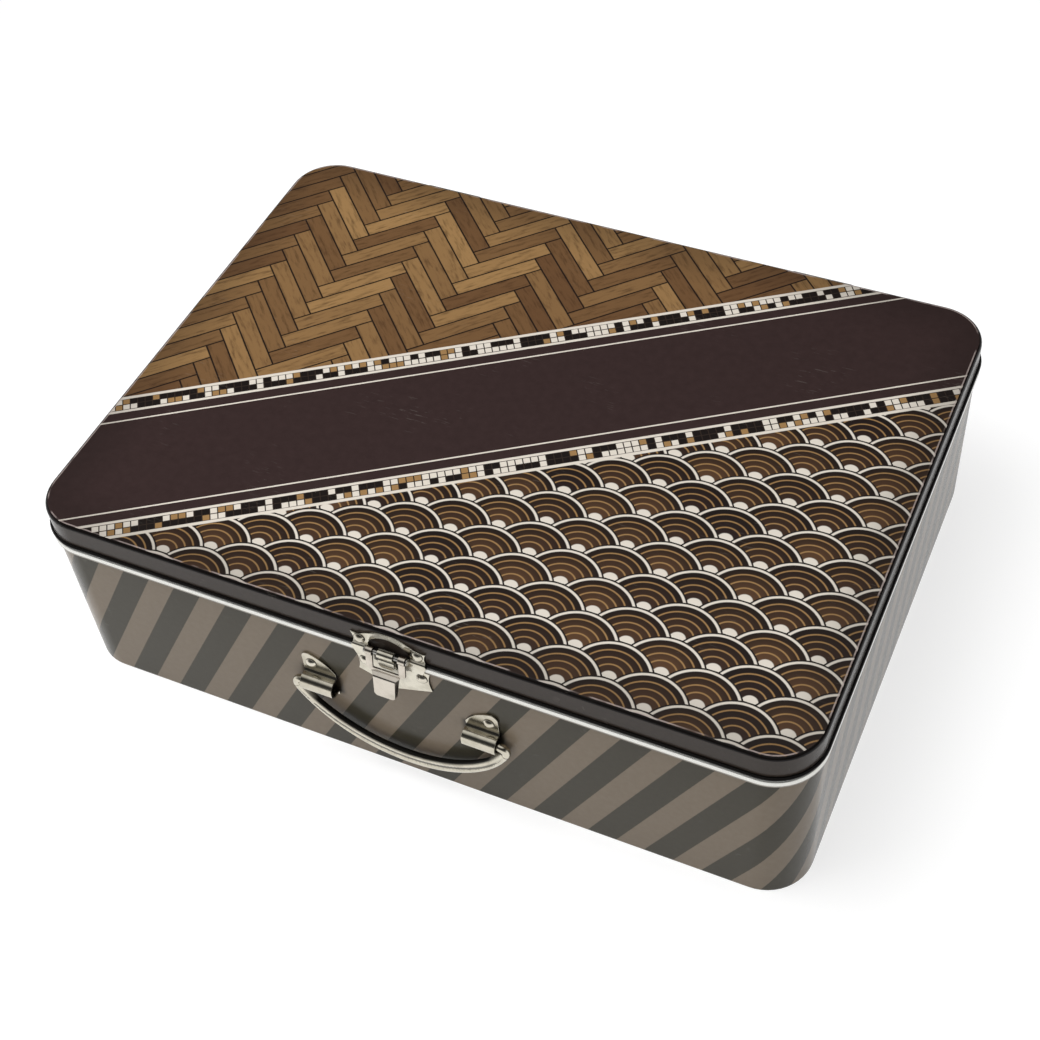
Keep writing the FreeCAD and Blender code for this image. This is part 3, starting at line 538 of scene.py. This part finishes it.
def nickel_plate(name, tones, polish):
    """Plain aged nickel plate, greyer and duller where it has tarnished."""
    material, bench = new_material(name)
    plating, metal, roughness = aged_nickel(bench, bench.place(), tones, 0.7, polish)
    bench.surface(
        Base_Color=metal,
        Metallic=1.0,
        Roughness=bench.plus(roughness, bench.times(plating["Tarnish mask"], 0.1)),
        Normal=bench.bump(plating["Marks"], *NICKEL_BUMP),
    )
    return material


def latch_painted_shade(bench, place):
    """A mask of painted shade behind the hasp's window, and of uneven painted shadow behind its flap."""
    x, y, height = bench.split(place)
    side = bench.size(x)
    near_wall = bench.rise(y, WALL_FACE - 3.2, WALL_FACE - 2.8)
    beside = bench.rise(side, HASP_HALF + 1.2, HASP_HALF - 0.4)
    under = bench.band(height, HASP_SHADE_LOW, HASP_SHADE_HIGH, 0.8)
    window = bench.times(beside, under, near_wall, 0.92)
    sheltered = bench.rise(side, HASP_HALF + 2.0, HASP_HALF - 3.0)
    behind_flap = bench.rise(height, FLAP_SHADE_LOW, HASP_SHADE_LOW)
    patches = bench.rise(bench.noise(place, 0.22, detail=4.0, roughness=0.65), 0.3, 0.75)
    flap_shadow = bench.times(sheltered, behind_flap, near_wall, bench.spread(patches, 0.2, 0.75))
    return bench.larger(window, flap_shadow)


def nickel_latch_plates():
    """Nickel plate of the latch's two plates, with painted shade where the hasp covers them."""
    material, bench = new_material("nickel_latch_plates")
    place = bench.place()
    # Painted shade behind the hasp's window and flap
    painted_shade = latch_painted_shade(bench, place)
    plating, metal, roughness = aged_nickel(bench, place, LATCH_NICKEL, 0.7, (0.14, 0.24))
    bench.surface(
        Base_Color=bench.choose(painted_shade, metal, LATCH_SHADE_PAINT),
        Specular_IOR_Level=0.1,
        Metallic=bench.pick(painted_shade, 1.0, 0.1),
        Roughness=bench.plus(roughness, bench.times(painted_shade, 0.3)),
        Normal=bench.bump(plating["Marks"], *NICKEL_BUMP),
    )
    return material


def nickel_ears():
    """Nickel plate of the handle ears, with painted shade in the crease above the barrel."""
    material, bench = new_material("nickel_ears")
    place = bench.place()
    _, y, height = bench.split(place)
    near_wall = bench.rise(y, WALL_FACE - 2.0, WALL_FACE - 1.3)
    # Painted shade in the crease above the barrel
    crease = bench.band(height, EAR_CREASE - 0.4, EAR_CREASE + 1.0, 0.4)
    painted_shade = bench.times(near_wall, crease, 0.95)
    plating, metal, roughness = aged_nickel(bench, place, EAR_NICKEL, 0.7, (0.12, 0.2))
    bench.surface(
        Base_Color=bench.choose(painted_shade, metal, EAR_SHADE_PAINT),
        Specular_IOR_Level=0.1,
        Metallic=bench.pick(painted_shade, 1.0, 0.4),
        Roughness=bench.plus(roughness, bench.times(painted_shade, 0.3)),
        Normal=bench.bump(plating["Marks"], *NICKEL_BUMP),
    )
    return material


def nickel_bail():
    """Nickel plate of the carry handle, with painted shade in its groove and along its inner edge."""
    material, bench = new_material("nickel_bail")
    # Painted shade in the groove and along the inner edge
    bow_shade = bench.mark("painted_shade")
    plating, metal, roughness = aged_nickel(bench, bench.place(), BAIL_NICKEL, 0.6, (0.09, 0.16))
    bench.surface(
        Base_Color=bench.choose(bow_shade, metal, BAIL_SHADE_PAINT),
        Specular_IOR_Level=0.1,
        Metallic=bench.pick(bow_shade, 1.0, 0.0),
        Roughness=bench.plus(roughness, bench.times(bow_shade, 0.2)),
        Normal=bench.bump(plating["Marks"], *NICKEL_BUMP),
    )
    return material


def nickel_rivet_heads():
    """Polished rivet domes with painted shade round their foot."""
    material, bench = new_material("nickel_rivet_heads")
    # Painted shade round each rivet's foot
    painted_shade = bench.times(bench.rise(bench.mark("dome"), 0.34, 0.06), 0.9)
    _, metal, roughness = aged_nickel(bench, bench.place(), RIVET_NICKEL, 0.6, (0.1, 0.2))
    bench.surface(
        Base_Color=bench.choose(painted_shade, metal, RIVET_SHADE_PAINT),
        Specular_IOR_Level=0.1,
        Metallic=bench.pick(painted_shade, 1.0, 0.3),
        Roughness=bench.plus(roughness, bench.times(painted_shade, 0.4)),
    )
    return material


def drawn_wire():
    """Plain steel wire of the pins, drawn along its length."""
    material, bench = new_material("drawn_wire")
    lines = bench.noise(bench.stretch(bench.place(), 0.05, 1.0, 1.0), 3.0)
    bench.surface(
        Base_Color=bench.choose(lines, *WIRE),
        Metallic=1.0,
        Roughness=bench.spread(lines, 0.25, 0.42),
    )
    return material


def parquet_print(bench, x, y):
    """Herringbone wood blocks, each with its own tone and grain."""
    turn = math.sqrt(0.5) / BLOCK
    across = bench.times(bench.plus(x, y), turn)
    up = bench.times(bench.minus(y, x), turn)
    column = bench.maths("FLOOR", across)
    row = bench.maths("FLOOR", up)
    turnover = bench.maths("FLOORED_MODULO", bench.minus(column, row), 2 * BLOCK_RUN)
    upright = bench.maths("GREATER_THAN", turnover, BLOCK_RUN - 0.5)
    over = bench.maths("FRACT", across)
    rise = bench.maths("FRACT", up)
    steps = bench.minus(2 * BLOCK_RUN - 1, turnover)
    along = bench.pick(upright, bench.plus(turnover, over), bench.plus(steps, rise))
    side = bench.pick(upright, rise, over)
    first = bench.pick(upright, bench.minus(column, turnover), bench.plus(column, 50.5))
    second = bench.pick(upright, row, bench.minus(row, steps))
    shade = bench.chance(first, second)
    grain_run = bench.plus(bench.times(along, 0.18), bench.times(shade, 40))
    grain = bench.noise(bench.point(grain_run, side, shade), 5.0, detail=4.0, roughness=0.6)
    wood = bench.choose(shade, *WOOD)
    wood = bench.choose(bench.times(bench.rise(grain, 0.45, 0.75), 0.6), wood, WOOD_GRAIN)
    nearest_edge = bench.smaller(bench.from_end(along, BLOCK_RUN), bench.from_end(side))
    return bench.choose(bench.rise(nearest_edge, 0.07, 0.02), wood, NEAR_BLACK)


def fan_print(bench, x, y):
    """Overlapping fans with rings, the nearer row over the one behind."""
    row = bench.maths("FLOOR", bench.times(y, 2 / FAN_RADIUS))
    distance = None
    shade = None
    for back in (0.0, 1.0, 2.0):
        this_row = bench.minus(row, back)
        odd = bench.maths("FLOORED_MODULO", this_row, 2.0)
        column_place = bench.minus(bench.times(x, 0.5 / FAN_RADIUS), bench.times(odd, 0.5))
        column = bench.maths("ROUND", column_place)
        off_x = bench.times(bench.minus(column_place, column), 2.0)
        off_y = bench.minus(bench.times(y, 1 / FAN_RADIUS), bench.times(this_row, 0.5))
        reach = bench.length(off_x, off_y)
        tint = bench.chance(column, this_row)
        if distance is None:
            distance, shade = reach, tint
        else:
            nearer = bench.maths("LESS_THAN", reach, 1.0)
            distance = bench.pick(nearer, distance, reach)
            shade = bench.pick(nearer, shade, tint)
    leaf = bench.choose(shade, *DARK_LEAF)
    leaf = bench.choose(bench.rise(distance, 0.2, 1.0), leaf, NEAR_BLACK)
    for ring, half, colour in FAN_RINGS:
        leaf = bench.choose(bench.band(distance, ring - half, ring + half, RING_SOFT), leaf, colour)
    return bench.choose(bench.rise(distance, 0.2, 0.17), leaf, CREAM)


def mosaic_print(bench, along, across):
    """A strip of small tiles in cream, tan and near-black."""
    tiles_along = bench.times(along, 1 / TILE)
    tiles_across = bench.times(across, 1 / TILE)
    lot = bench.chance(bench.maths("FLOOR", tiles_along), bench.maths("FLOOR", tiles_across))
    tile = bench.choose(bench.maths("GREATER_THAN", lot, 0.42), NEAR_BLACK, TAN)
    tile = bench.choose(bench.maths("GREATER_THAN", lot, 0.6), tile, CREAM)
    along_gap = bench.from_end(bench.maths("FRACT", tiles_along))
    across_gap = bench.from_end(bench.maths("FRACT", tiles_across))
    return bench.choose(bench.rise(bench.smaller(along_gap, across_gap), 0.1, 0.05), tile, GROUT)


def lid_design(bench, x, y):
    """A plain sash from corner to corner, tile strips on it, wood blocks behind it and fans in front."""
    along = bench.plus(bench.times(x, math.cos(SASH_ANGLE)), bench.times(y, math.sin(SASH_ANGLE)))
    across = bench.minus(bench.times(y, math.cos(SASH_ANGLE)), bench.times(x, math.sin(SASH_ANGLE)))
    across = bench.minus(across, SASH_OFFSET)
    reach = bench.size(across)
    behind = bench.maths("GREATER_THAN", across, 0.0)
    fields = bench.choose(behind, fan_print(bench, x, y), parquet_print(bench, x, y))
    mottle = bench.noise(bench.point(x, y), 0.25, detail=4.0, roughness=0.6)
    on_sash = bench.rise(reach, SASH_EDGE + PRINT_SOFT, SASH_EDGE - PRINT_SOFT)
    pattern = bench.choose(on_sash, fields, bench.choose(mottle, *CHOCOLATE))
    strip = bench.band(reach, SASH_STRIP, SASH_EDGE, PRINT_SOFT)
    pattern = bench.choose(strip, pattern, mosaic_print(bench, along, reach))
    for middle, half in SASH_LINES:
        line = bench.band(reach, middle - half, middle + half, PRINT_SOFT)
        pattern = bench.choose(line, pattern, CREAM)
    return pattern


def outline_depth(bench, x, y):
    """How far a point lies inside the lid's rounded outline, in millimetres."""
    over_x = bench.minus(bench.size(x), CORNER_X / MM)
    over_y = bench.minus(bench.size(y), CORNER_Y / MM)
    out = bench.length(bench.larger(over_x, 0.0), bench.larger(over_y, 0.0))
    within = bench.smaller(bench.larger(over_x, over_y), 0.0)
    return bench.minus(CORNER_RADIUS / MM, bench.plus(out, within))


def lid_print():
    """Varnished print of the lid: its design on top, plain dark lacquer down the skirt."""
    material, bench = new_material("lid_print")
    place = bench.place()
    x, raw_y, height = bench.split(place)
    y = bench.minus(raw_y, MIDDLE_Y / MM)
    depth = outline_depth(bench, x, y)
    edge_height = (LID_TOP - 0.9 * LID_EDGE_RADIUS) / MM
    rim_height = (lid_low.z + RIM_HEIGHT) / MM
    on_top = bench.rise(height, edge_height - 0.15, edge_height + 0.15)
    on_rim = bench.rise(height, rim_height + 0.2, rim_height)
    edge_shade = bench.times(bench.rise(depth, LID_SHADE, 0.0), 0.35)
    top = bench.choose(edge_shade, lid_design(bench, x, y), NEAR_BLACK)
    top = bench.choose(bench.rise(depth, LID_BEND_LINE, LID_BEND_LINE - 0.15), top, BEND_BLACK)
    mottle = bench.noise(place, 0.5, detail=4.0, roughness=0.6)
    sheet = bench.use(rolled_sheet, Place=place, Scuffs=0.1)
    colour = bench.choose(on_top, bench.choose(mottle, *SKIRT_LACQUER), top)
    colour = bench.choose(sheet["Scuff mask"], colour, LID_SCUFF)
    colour = bench.choose(on_rim, colour, RIM_BLACK)
    # Painted highlight: a pale, broken line on the top just inside the lid's edge
    highlight_line = bench.times(bench.band(depth, *HIGHLIGHT_BAND, 0.06), on_top)
    highlight_patches = bench.rise(bench.noise(place, 0.045, detail=3.0, roughness=0.6), 0.42, 0.52)
    edge_highlight = bench.times(highlight_line, highlight_patches, bench.spread(mottle, 0.35, 1.0))
    gloss = bench.pick(on_top, bench.spread(mottle, 0.2, 0.28), bench.spread(mottle, 0.16, 0.24))
    bench.surface(
        Base_Color=bench.choose(edge_highlight, colour, EDGE_HIGHLIGHT_PAINT),
        Roughness=bench.plus(gloss, bench.times(on_rim, 0.15)),
        Specular_IOR_Level=0.14,
        Sheen_Weight=0.18,
        Sheen_Roughness=0.25,
        Normal=bench.bump(sheet["Waves"], *PRINT_BUMP),
    )
    return material


def wrap_place(x, y, to_left):
    """How far along the wall a point lies from the middle of the front, in metres, negative to the left."""
    side = abs(x)
    quarter = WALL_RADIUS * math.pi / 2
    if y < MIDDLE_Y - CORNER_Y:
        turn = math.atan2(max(side - CORNER_X, 0), MIDDLE_Y - CORNER_Y - y)
        run = min(side, CORNER_X) + WALL_RADIUS * turn
    elif y < MIDDLE_Y + CORNER_Y:
        run = CORNER_X + quarter + y - (MIDDLE_Y - CORNER_Y)
    else:
        turn = math.atan2(y - MIDDLE_Y - CORNER_Y, max(side - CORNER_X, 0))
        run = CORNER_X + quarter + 2 * CORNER_Y + WALL_RADIUS * turn + CORNER_X - min(side, CORNER_X)
    return -run if to_left else run


def skirt_depth(point):
    """How far a point lies inside the outer face of the skirt, in metres."""
    over_x = abs(point.x) - CORNER_X
    over_y = abs(point.y - MIDDLE_Y) - CORNER_Y
    out = math.hypot(max(over_x, 0), max(over_y, 0))
    return CORNER_RADIUS - out - min(max(over_x, over_y), 0)


def merged_copy(node):
    """A CAD node's mesh with its loose triangles joined."""
    bm = bmesh.new()
    bm.from_mesh(frame["nodes"][node].data)
    bmesh.ops.remove_doubles(bm, verts=bm.verts, dist=MERGE_GAP)
    return bm


def shade_smooth(bm, crease):
    """Smooth shading with crisp edges where faces meet at more than the given angle."""
    for face in bm.faces:
        face.smooth = True
    for edge in bm.edges:
        edge.smooth = edge.calc_face_angle(0.0) < math.radians(crease)


def node_body(node):
    bodies = frame["record"]["behaviour"]["bodies"]
    return next(body for body, members in bodies.items() if node in members)


def node_slot(node):
    return next(part["material_slot"] for part in frame["record"]["subparts"] if part["node"] == node)


def mark_domes(bm):
    """Notes how high each point of a rivet lies on its dome, from 0 at its foot to 1 at its top.

    The shank under the foot counts as clean, with 1.
    """
    dome = bm.verts.layers.float.new("dome")
    for vert in bm.verts:
        vert[dome] = -1.0
    for first in bm.verts:
        if first[dome] >= 0:
            continue
        rivet = {first}
        fresh = [first]
        while fresh:
            near = {edge.other_vert(vert) for vert in fresh for edge in vert.link_edges}
            fresh = list(near - rivet)
            rivet |= near
        outward = 1 if first.co.y > 0 else -1
        top = max(vert.co.y * outward for vert in rivet)
        for vert in rivet:
            height = 1 - (top - vert.co.y * outward) / RIVET_DOME
            vert[dome] = height if height > -0.05 else 1.0


def mark_bow(bm):
    """Notes where shade is painted on the handle: in its face's groove and on the edge next to the wall."""
    painted_shade = bm.verts.layers.float.new("painted_shade")
    front = min(vert.co.y for vert in bm.verts)
    for vert in bm.verts:
        down = BOW_CENTRE - vert.co.z
        share = math.atan2(vert.co.x, down) / BOW_SWEEP
        fullness = max(1 - share ** 2, 0)
        band = BOW_END + (BOW_BAND - BOW_END) * fullness
        across = 1 - 2 * (BOW_RADIUS - math.hypot(vert.co.x, down)) / band
        on_face = vert.co.y < front + BOW_FACE
        groove = math.exp(-(((across - GROOVE_PLACE) / GROOVE_WIDTH) ** 2)) if on_face else 0
        inner = min(max((INNER_EDGE - across) / INNER_SOFT, 0), 1)
        vert[painted_shade] = max(groove, inner) * min(fullness * 3, 1)


def ease_edges(piece):
    """Rounds the cut edges of sheet and wire, so that they catch the light."""
    eased = piece.modifiers.new("eased_edges", "BEVEL")
    eased.width = EASED_EDGE
    eased.segments = 2
    eased.limit_method = "ANGLE"
    eased.angle_limit = math.radians(SHEET_CREASE)
    eased.use_clamp_overlap = False
    eased.miter_outer = "MITER_ARC"


def finished_piece(bm, node, materials, eased=False):
    """Puts a merged copy in its node's place, with its finishes and even shading."""
    name = node + "_finished"
    mesh = bpy.data.meshes.new(name)
    bm.to_mesh(mesh)
    bm.free()
    for material in materials:
        mesh.materials.append(material)
    piece = bpy.data.objects.new(name, mesh)
    bpy.context.scene.collection.objects.link(piece)
    if eased:
        ease_edges(piece)
    evened = piece.modifiers.new("even_shading", "WEIGHTED_NORMAL")
    evened.keep_sharp = True
    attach(piece, node_body(node))
    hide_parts(node)


def cut_behind(bm):
    """Cuts the back wall's faces at the middle, where the two ends of the wrap map meet."""
    back = [face for face in bm.faces if face.calc_center_median().y > MIDDLE_Y]
    edges = {edge for face in back for edge in face.edges}
    verts = {vert for face in back for vert in face.verts}
    bmesh.ops.bisect_plane(
        bm, geom=[*verts, *edges, *back], plane_co=(0, 0, 0), plane_no=(1, 0, 0), dist=CUT_GAP
    )


def add_body_wall(stripes, tin, bead):
    """Side wall: stripes on its outer face, bare tin on the bead, the neck and the inside."""
    bm = merged_copy("body_wall")
    cut_behind(bm)
    wrap = bm.loops.layers.uv.new("wrap")
    for face in bm.faces:
        centre = face.calc_center_median()
        depth = skirt_depth(centre)
        outward = depth < skirt_depth(centre - face.normal * INTO_SHEET)
        if outward and depth < WALL_INSET + SHEET / 2 and centre.z < WALL_TOP:
            face.material_index = 0
        elif outward and WALL_TOP < centre.z < BEAD_TOP:
            face.material_index = 2
        else:
            face.material_index = 1
        for loop in face.loops:
            point = loop.vert.co
            side = point.x if abs(point.x) > SEAM_GAP else centre.x
            loop[wrap].uv = (wrap_place(point.x, point.y, side < 0), point.z)
    shade_smooth(bm, SHEET_CREASE)
    finished_piece(bm, "body_wall", [stripes, tin, bead])


def add_lid(printed, tin):
    """Lid: print on its outer face, bare tin inside."""
    bm = merged_copy("lid_shell")
    arc_height = LID_TOP - LID_EDGE_RADIUS
    for face in bm.faces:
        centre = face.calc_center_median()
        depth = skirt_depth(centre)
        if depth < LID_EDGE_RADIUS and centre.z > arc_height:
            from_arc = math.hypot(LID_EDGE_RADIUS - depth, centre.z - arc_height)
            outside = from_arc > LID_EDGE_RADIUS - SHEET / 2
        else:
            outside = depth < SHEET / 2 or centre.z > LID_TOP - SHEET / 2
        face.material_index = 0 if outside else 1
    shade_smooth(bm, SHEET_CREASE)
    finished_piece(bm, "lid_shell", [printed, tin])


def add_bottom(tin):
    bm = merged_copy("bottom_panel")
    shade_smooth(bm, ROUND_CREASE)
    finished_piece(bm, "bottom_panel", [tin])


def add_carry_handle(bail):
    bm = merged_copy("carry_handle")
    mark_bow(bm)
    shade_smooth(bm, ROUND_CREASE)
    finished_piece(bm, "carry_handle", [bail])


def add_fitting(node, face, side):
    """A stamped or turned fitting: flat faces joined, sides in their own finish, edges eased."""
    bm = merged_copy(node)
    if node.endswith("_rivets"):
        mark_domes(bm)
    bmesh.ops.dissolve_limit(bm, angle_limit=math.radians(FLAT_DEGREES), verts=bm.verts, edges=bm.edges)
    for flat in bm.faces:
        # Faces turned left or right take the side finish, which is painted shade on sheet fittings
        flat.material_index = 1 if abs(flat.normal.x) > SIDE_FACING else 0
    shade_smooth(bm, NO_CREASE)
    finished_piece(bm, node, [face, side], eased=True)


def add_fittings():
    """The hasp, then the other fittings in their slots' finish; left and right sides in painted shade."""
    hasp_face = nickel_plate("nickel_hasp", HASP_NICKEL, (0.14, 0.24))
    hasp_shaded_side = nickel_plate("nickel_hasp_shaded_side", HASP_SHADED_SIDE_NICKEL, (0.3, 0.42))
    add_fitting("latch_hasp", hasp_face, hasp_shaded_side)
    shaded_side = nickel_plate("nickel_shaded_side", SHADED_SIDE_NICKEL, (0.2, 0.32))
    sheet_finish = {
        "nickel_ears": nickel_ears(),
        "nickel_hinges": nickel_plate("nickel_hinges", EAR_NICKEL, (0.13, 0.22)),
        "nickel_latch": nickel_latch_plates(),
    }
    turned_finish = {"nickel_rivets": nickel_rivet_heads(), "pin_steel": drawn_wire()}
    for node in frame["nodes"]:
        slot = node_slot(node)
        if slot in turned_finish:
            add_fitting(node, turned_finish[slot], turned_finish[slot])
        elif slot in sheet_finish and node != "latch_hasp":
            add_fitting(node, sheet_finish[slot], shaded_side)


def white_floor():
    """White paint that keeps the box's shadow, and shows as plain white further out."""
    material, bench = new_material("white_floor")
    path = bench.add("LightPath").outputs
    seen = bench.larger(path["Is Camera Ray"], path["Is Glossy Ray"])
    seen = bench.larger(seen, path["Is Transmission Ray"])
    from_box = bench.add("VectorMath", operation="LENGTH")
    bench.plug(from_box.inputs[0], bench.add("TexCoord").outputs["Object"])
    further_out = bench.rise(from_box.outputs["Value"], *SHADOW_FADE)
    paint = bench.add("BsdfDiffuse")
    seen_paint = bench.choose(further_out, SEEN_FLOOR_PAINT, BLACK)
    bench.plug(paint.inputs["Color"], bench.choose(seen, FLOOR_PAINT, seen_paint))
    glow = bench.add("Emission")
    bench.plug(glow.inputs["Color"], WHITE)
    bench.plug(glow.inputs["Strength"], bench.times(seen, bench.spread(further_out, SEEN_FLOOR_GLOW, 1.0)))
    both = bench.add("AddShader")
    bench.plug(both.inputs[0], paint.outputs[0])
    bench.plug(both.inputs[1], glow.outputs[0])
    output = bench.add("OutputMaterial")
    bench.plug(output.inputs["Surface"], both.outputs[0])
    return material


def add_floor():
    bm = bmesh.new()
    bmesh.ops.create_grid(bm, x_segments=1, y_segments=1, size=FLOOR_REACH)
    bmesh.ops.translate(bm, verts=bm.verts, vec=(0, 0, -FLOOR_GAP))
    mesh = bpy.data.meshes.new("floor")
    bm.to_mesh(mesh)
    bm.free()
    mesh.materials.append(white_floor())
    floor = bpy.data.objects.new("floor", mesh)
    bpy.context.scene.collection.objects.link(floor)


def add_world():
    """White walls under a dim ceiling, brighter overhead and to the left, with a dark open front.

    The camera sees plain white.
    """
    world = bpy.data.worlds.new("studio")
    bpy.context.scene.world = world
    world.use_nodes = True
    bench = Bench(world.node_tree)
    right, away, up = bench.split(bench.add("TexCoord").outputs["Generated"])
    path = bench.add("LightPath").outputs
    mirrored = bench.larger(path["Is Glossy Ray"], path["Is Transmission Ray"])
    overhead = bench.times(bench.rise(up, *OVERHEAD_START), OVERHEAD_LEVEL)
    left_side = bench.times(bench.rise(right, *LEFT_START), LEFT_LEVEL)
    ceiling = bench.plus(overhead, left_side, CEILING_LEVEL)
    walls = bench.pick(mirrored, WALL_LEVEL, MIRRORED_WALL_LEVEL)
    walls = bench.pick(bench.rise(away, *FRONT_START), walls, OPEN_FRONT_LEVEL)
    level = bench.pick(bench.rise(up, *CEILING_START), walls, ceiling)
    sky = bench.add("Background")
    bench.plug(sky.inputs["Color"], WHITE)
    bench.plug(sky.inputs["Strength"], bench.pick(path["Is Camera Ray"], level, 1.0))
    output = bench.add("OutputWorld")
    bench.plug(output.inputs["Surface"], sky.outputs[0])


def add_softbox(name, place, width, power):
    """A square studio lamp that faces the box and doesn't show in its metal."""
    lamp = bpy.data.lights.new(name, "AREA")
    lamp.shape = "SQUARE"
    lamp.size = width
    lamp.energy = power
    holder = bpy.data.objects.new(name, lamp)
    bpy.context.scene.collection.objects.link(holder)
    holder.location = place
    aim = LAMP_AIM - Vector(place)
    holder.rotation_euler = aim.to_track_quat("-Z", "Y").to_euler()
    holder.visible_glossy = False


def add_camera():
    """The photograph's own view."""
    lens = bpy.data.cameras.new("photo_view")
    lens.sensor_width = SENSOR_WIDTH
    lens.lens = CAMERA_LENS
    lens.clip_end = CAMERA_REACH
    camera = bpy.data.objects.new("photo_view", lens)
    bpy.context.scene.collection.objects.link(camera)
    back = CAMERA_RIGHT.cross(CAMERA_UP)
    turn = Matrix((CAMERA_RIGHT, CAMERA_UP, back)).transposed()
    camera.matrix_world = Matrix.Translation(CAMERA_PLACE) @ turn.to_4x4()
    bpy.context.scene.camera = camera


def main():
    tin = bright_tin()
    add_body_wall(striped_wall_print(), wall_tin(), bead_tin())
    add_lid(lid_print(), tin)
    add_bottom(tin)
    add_carry_handle(nickel_bail())
    add_fittings()
    add_floor()
    add_world()
    for name, place, width, power in LAMPS:
        add_softbox(name, place, width, power)
    add_camera()
    bpy.context.scene.view_settings.view_transform = "Standard"


main()
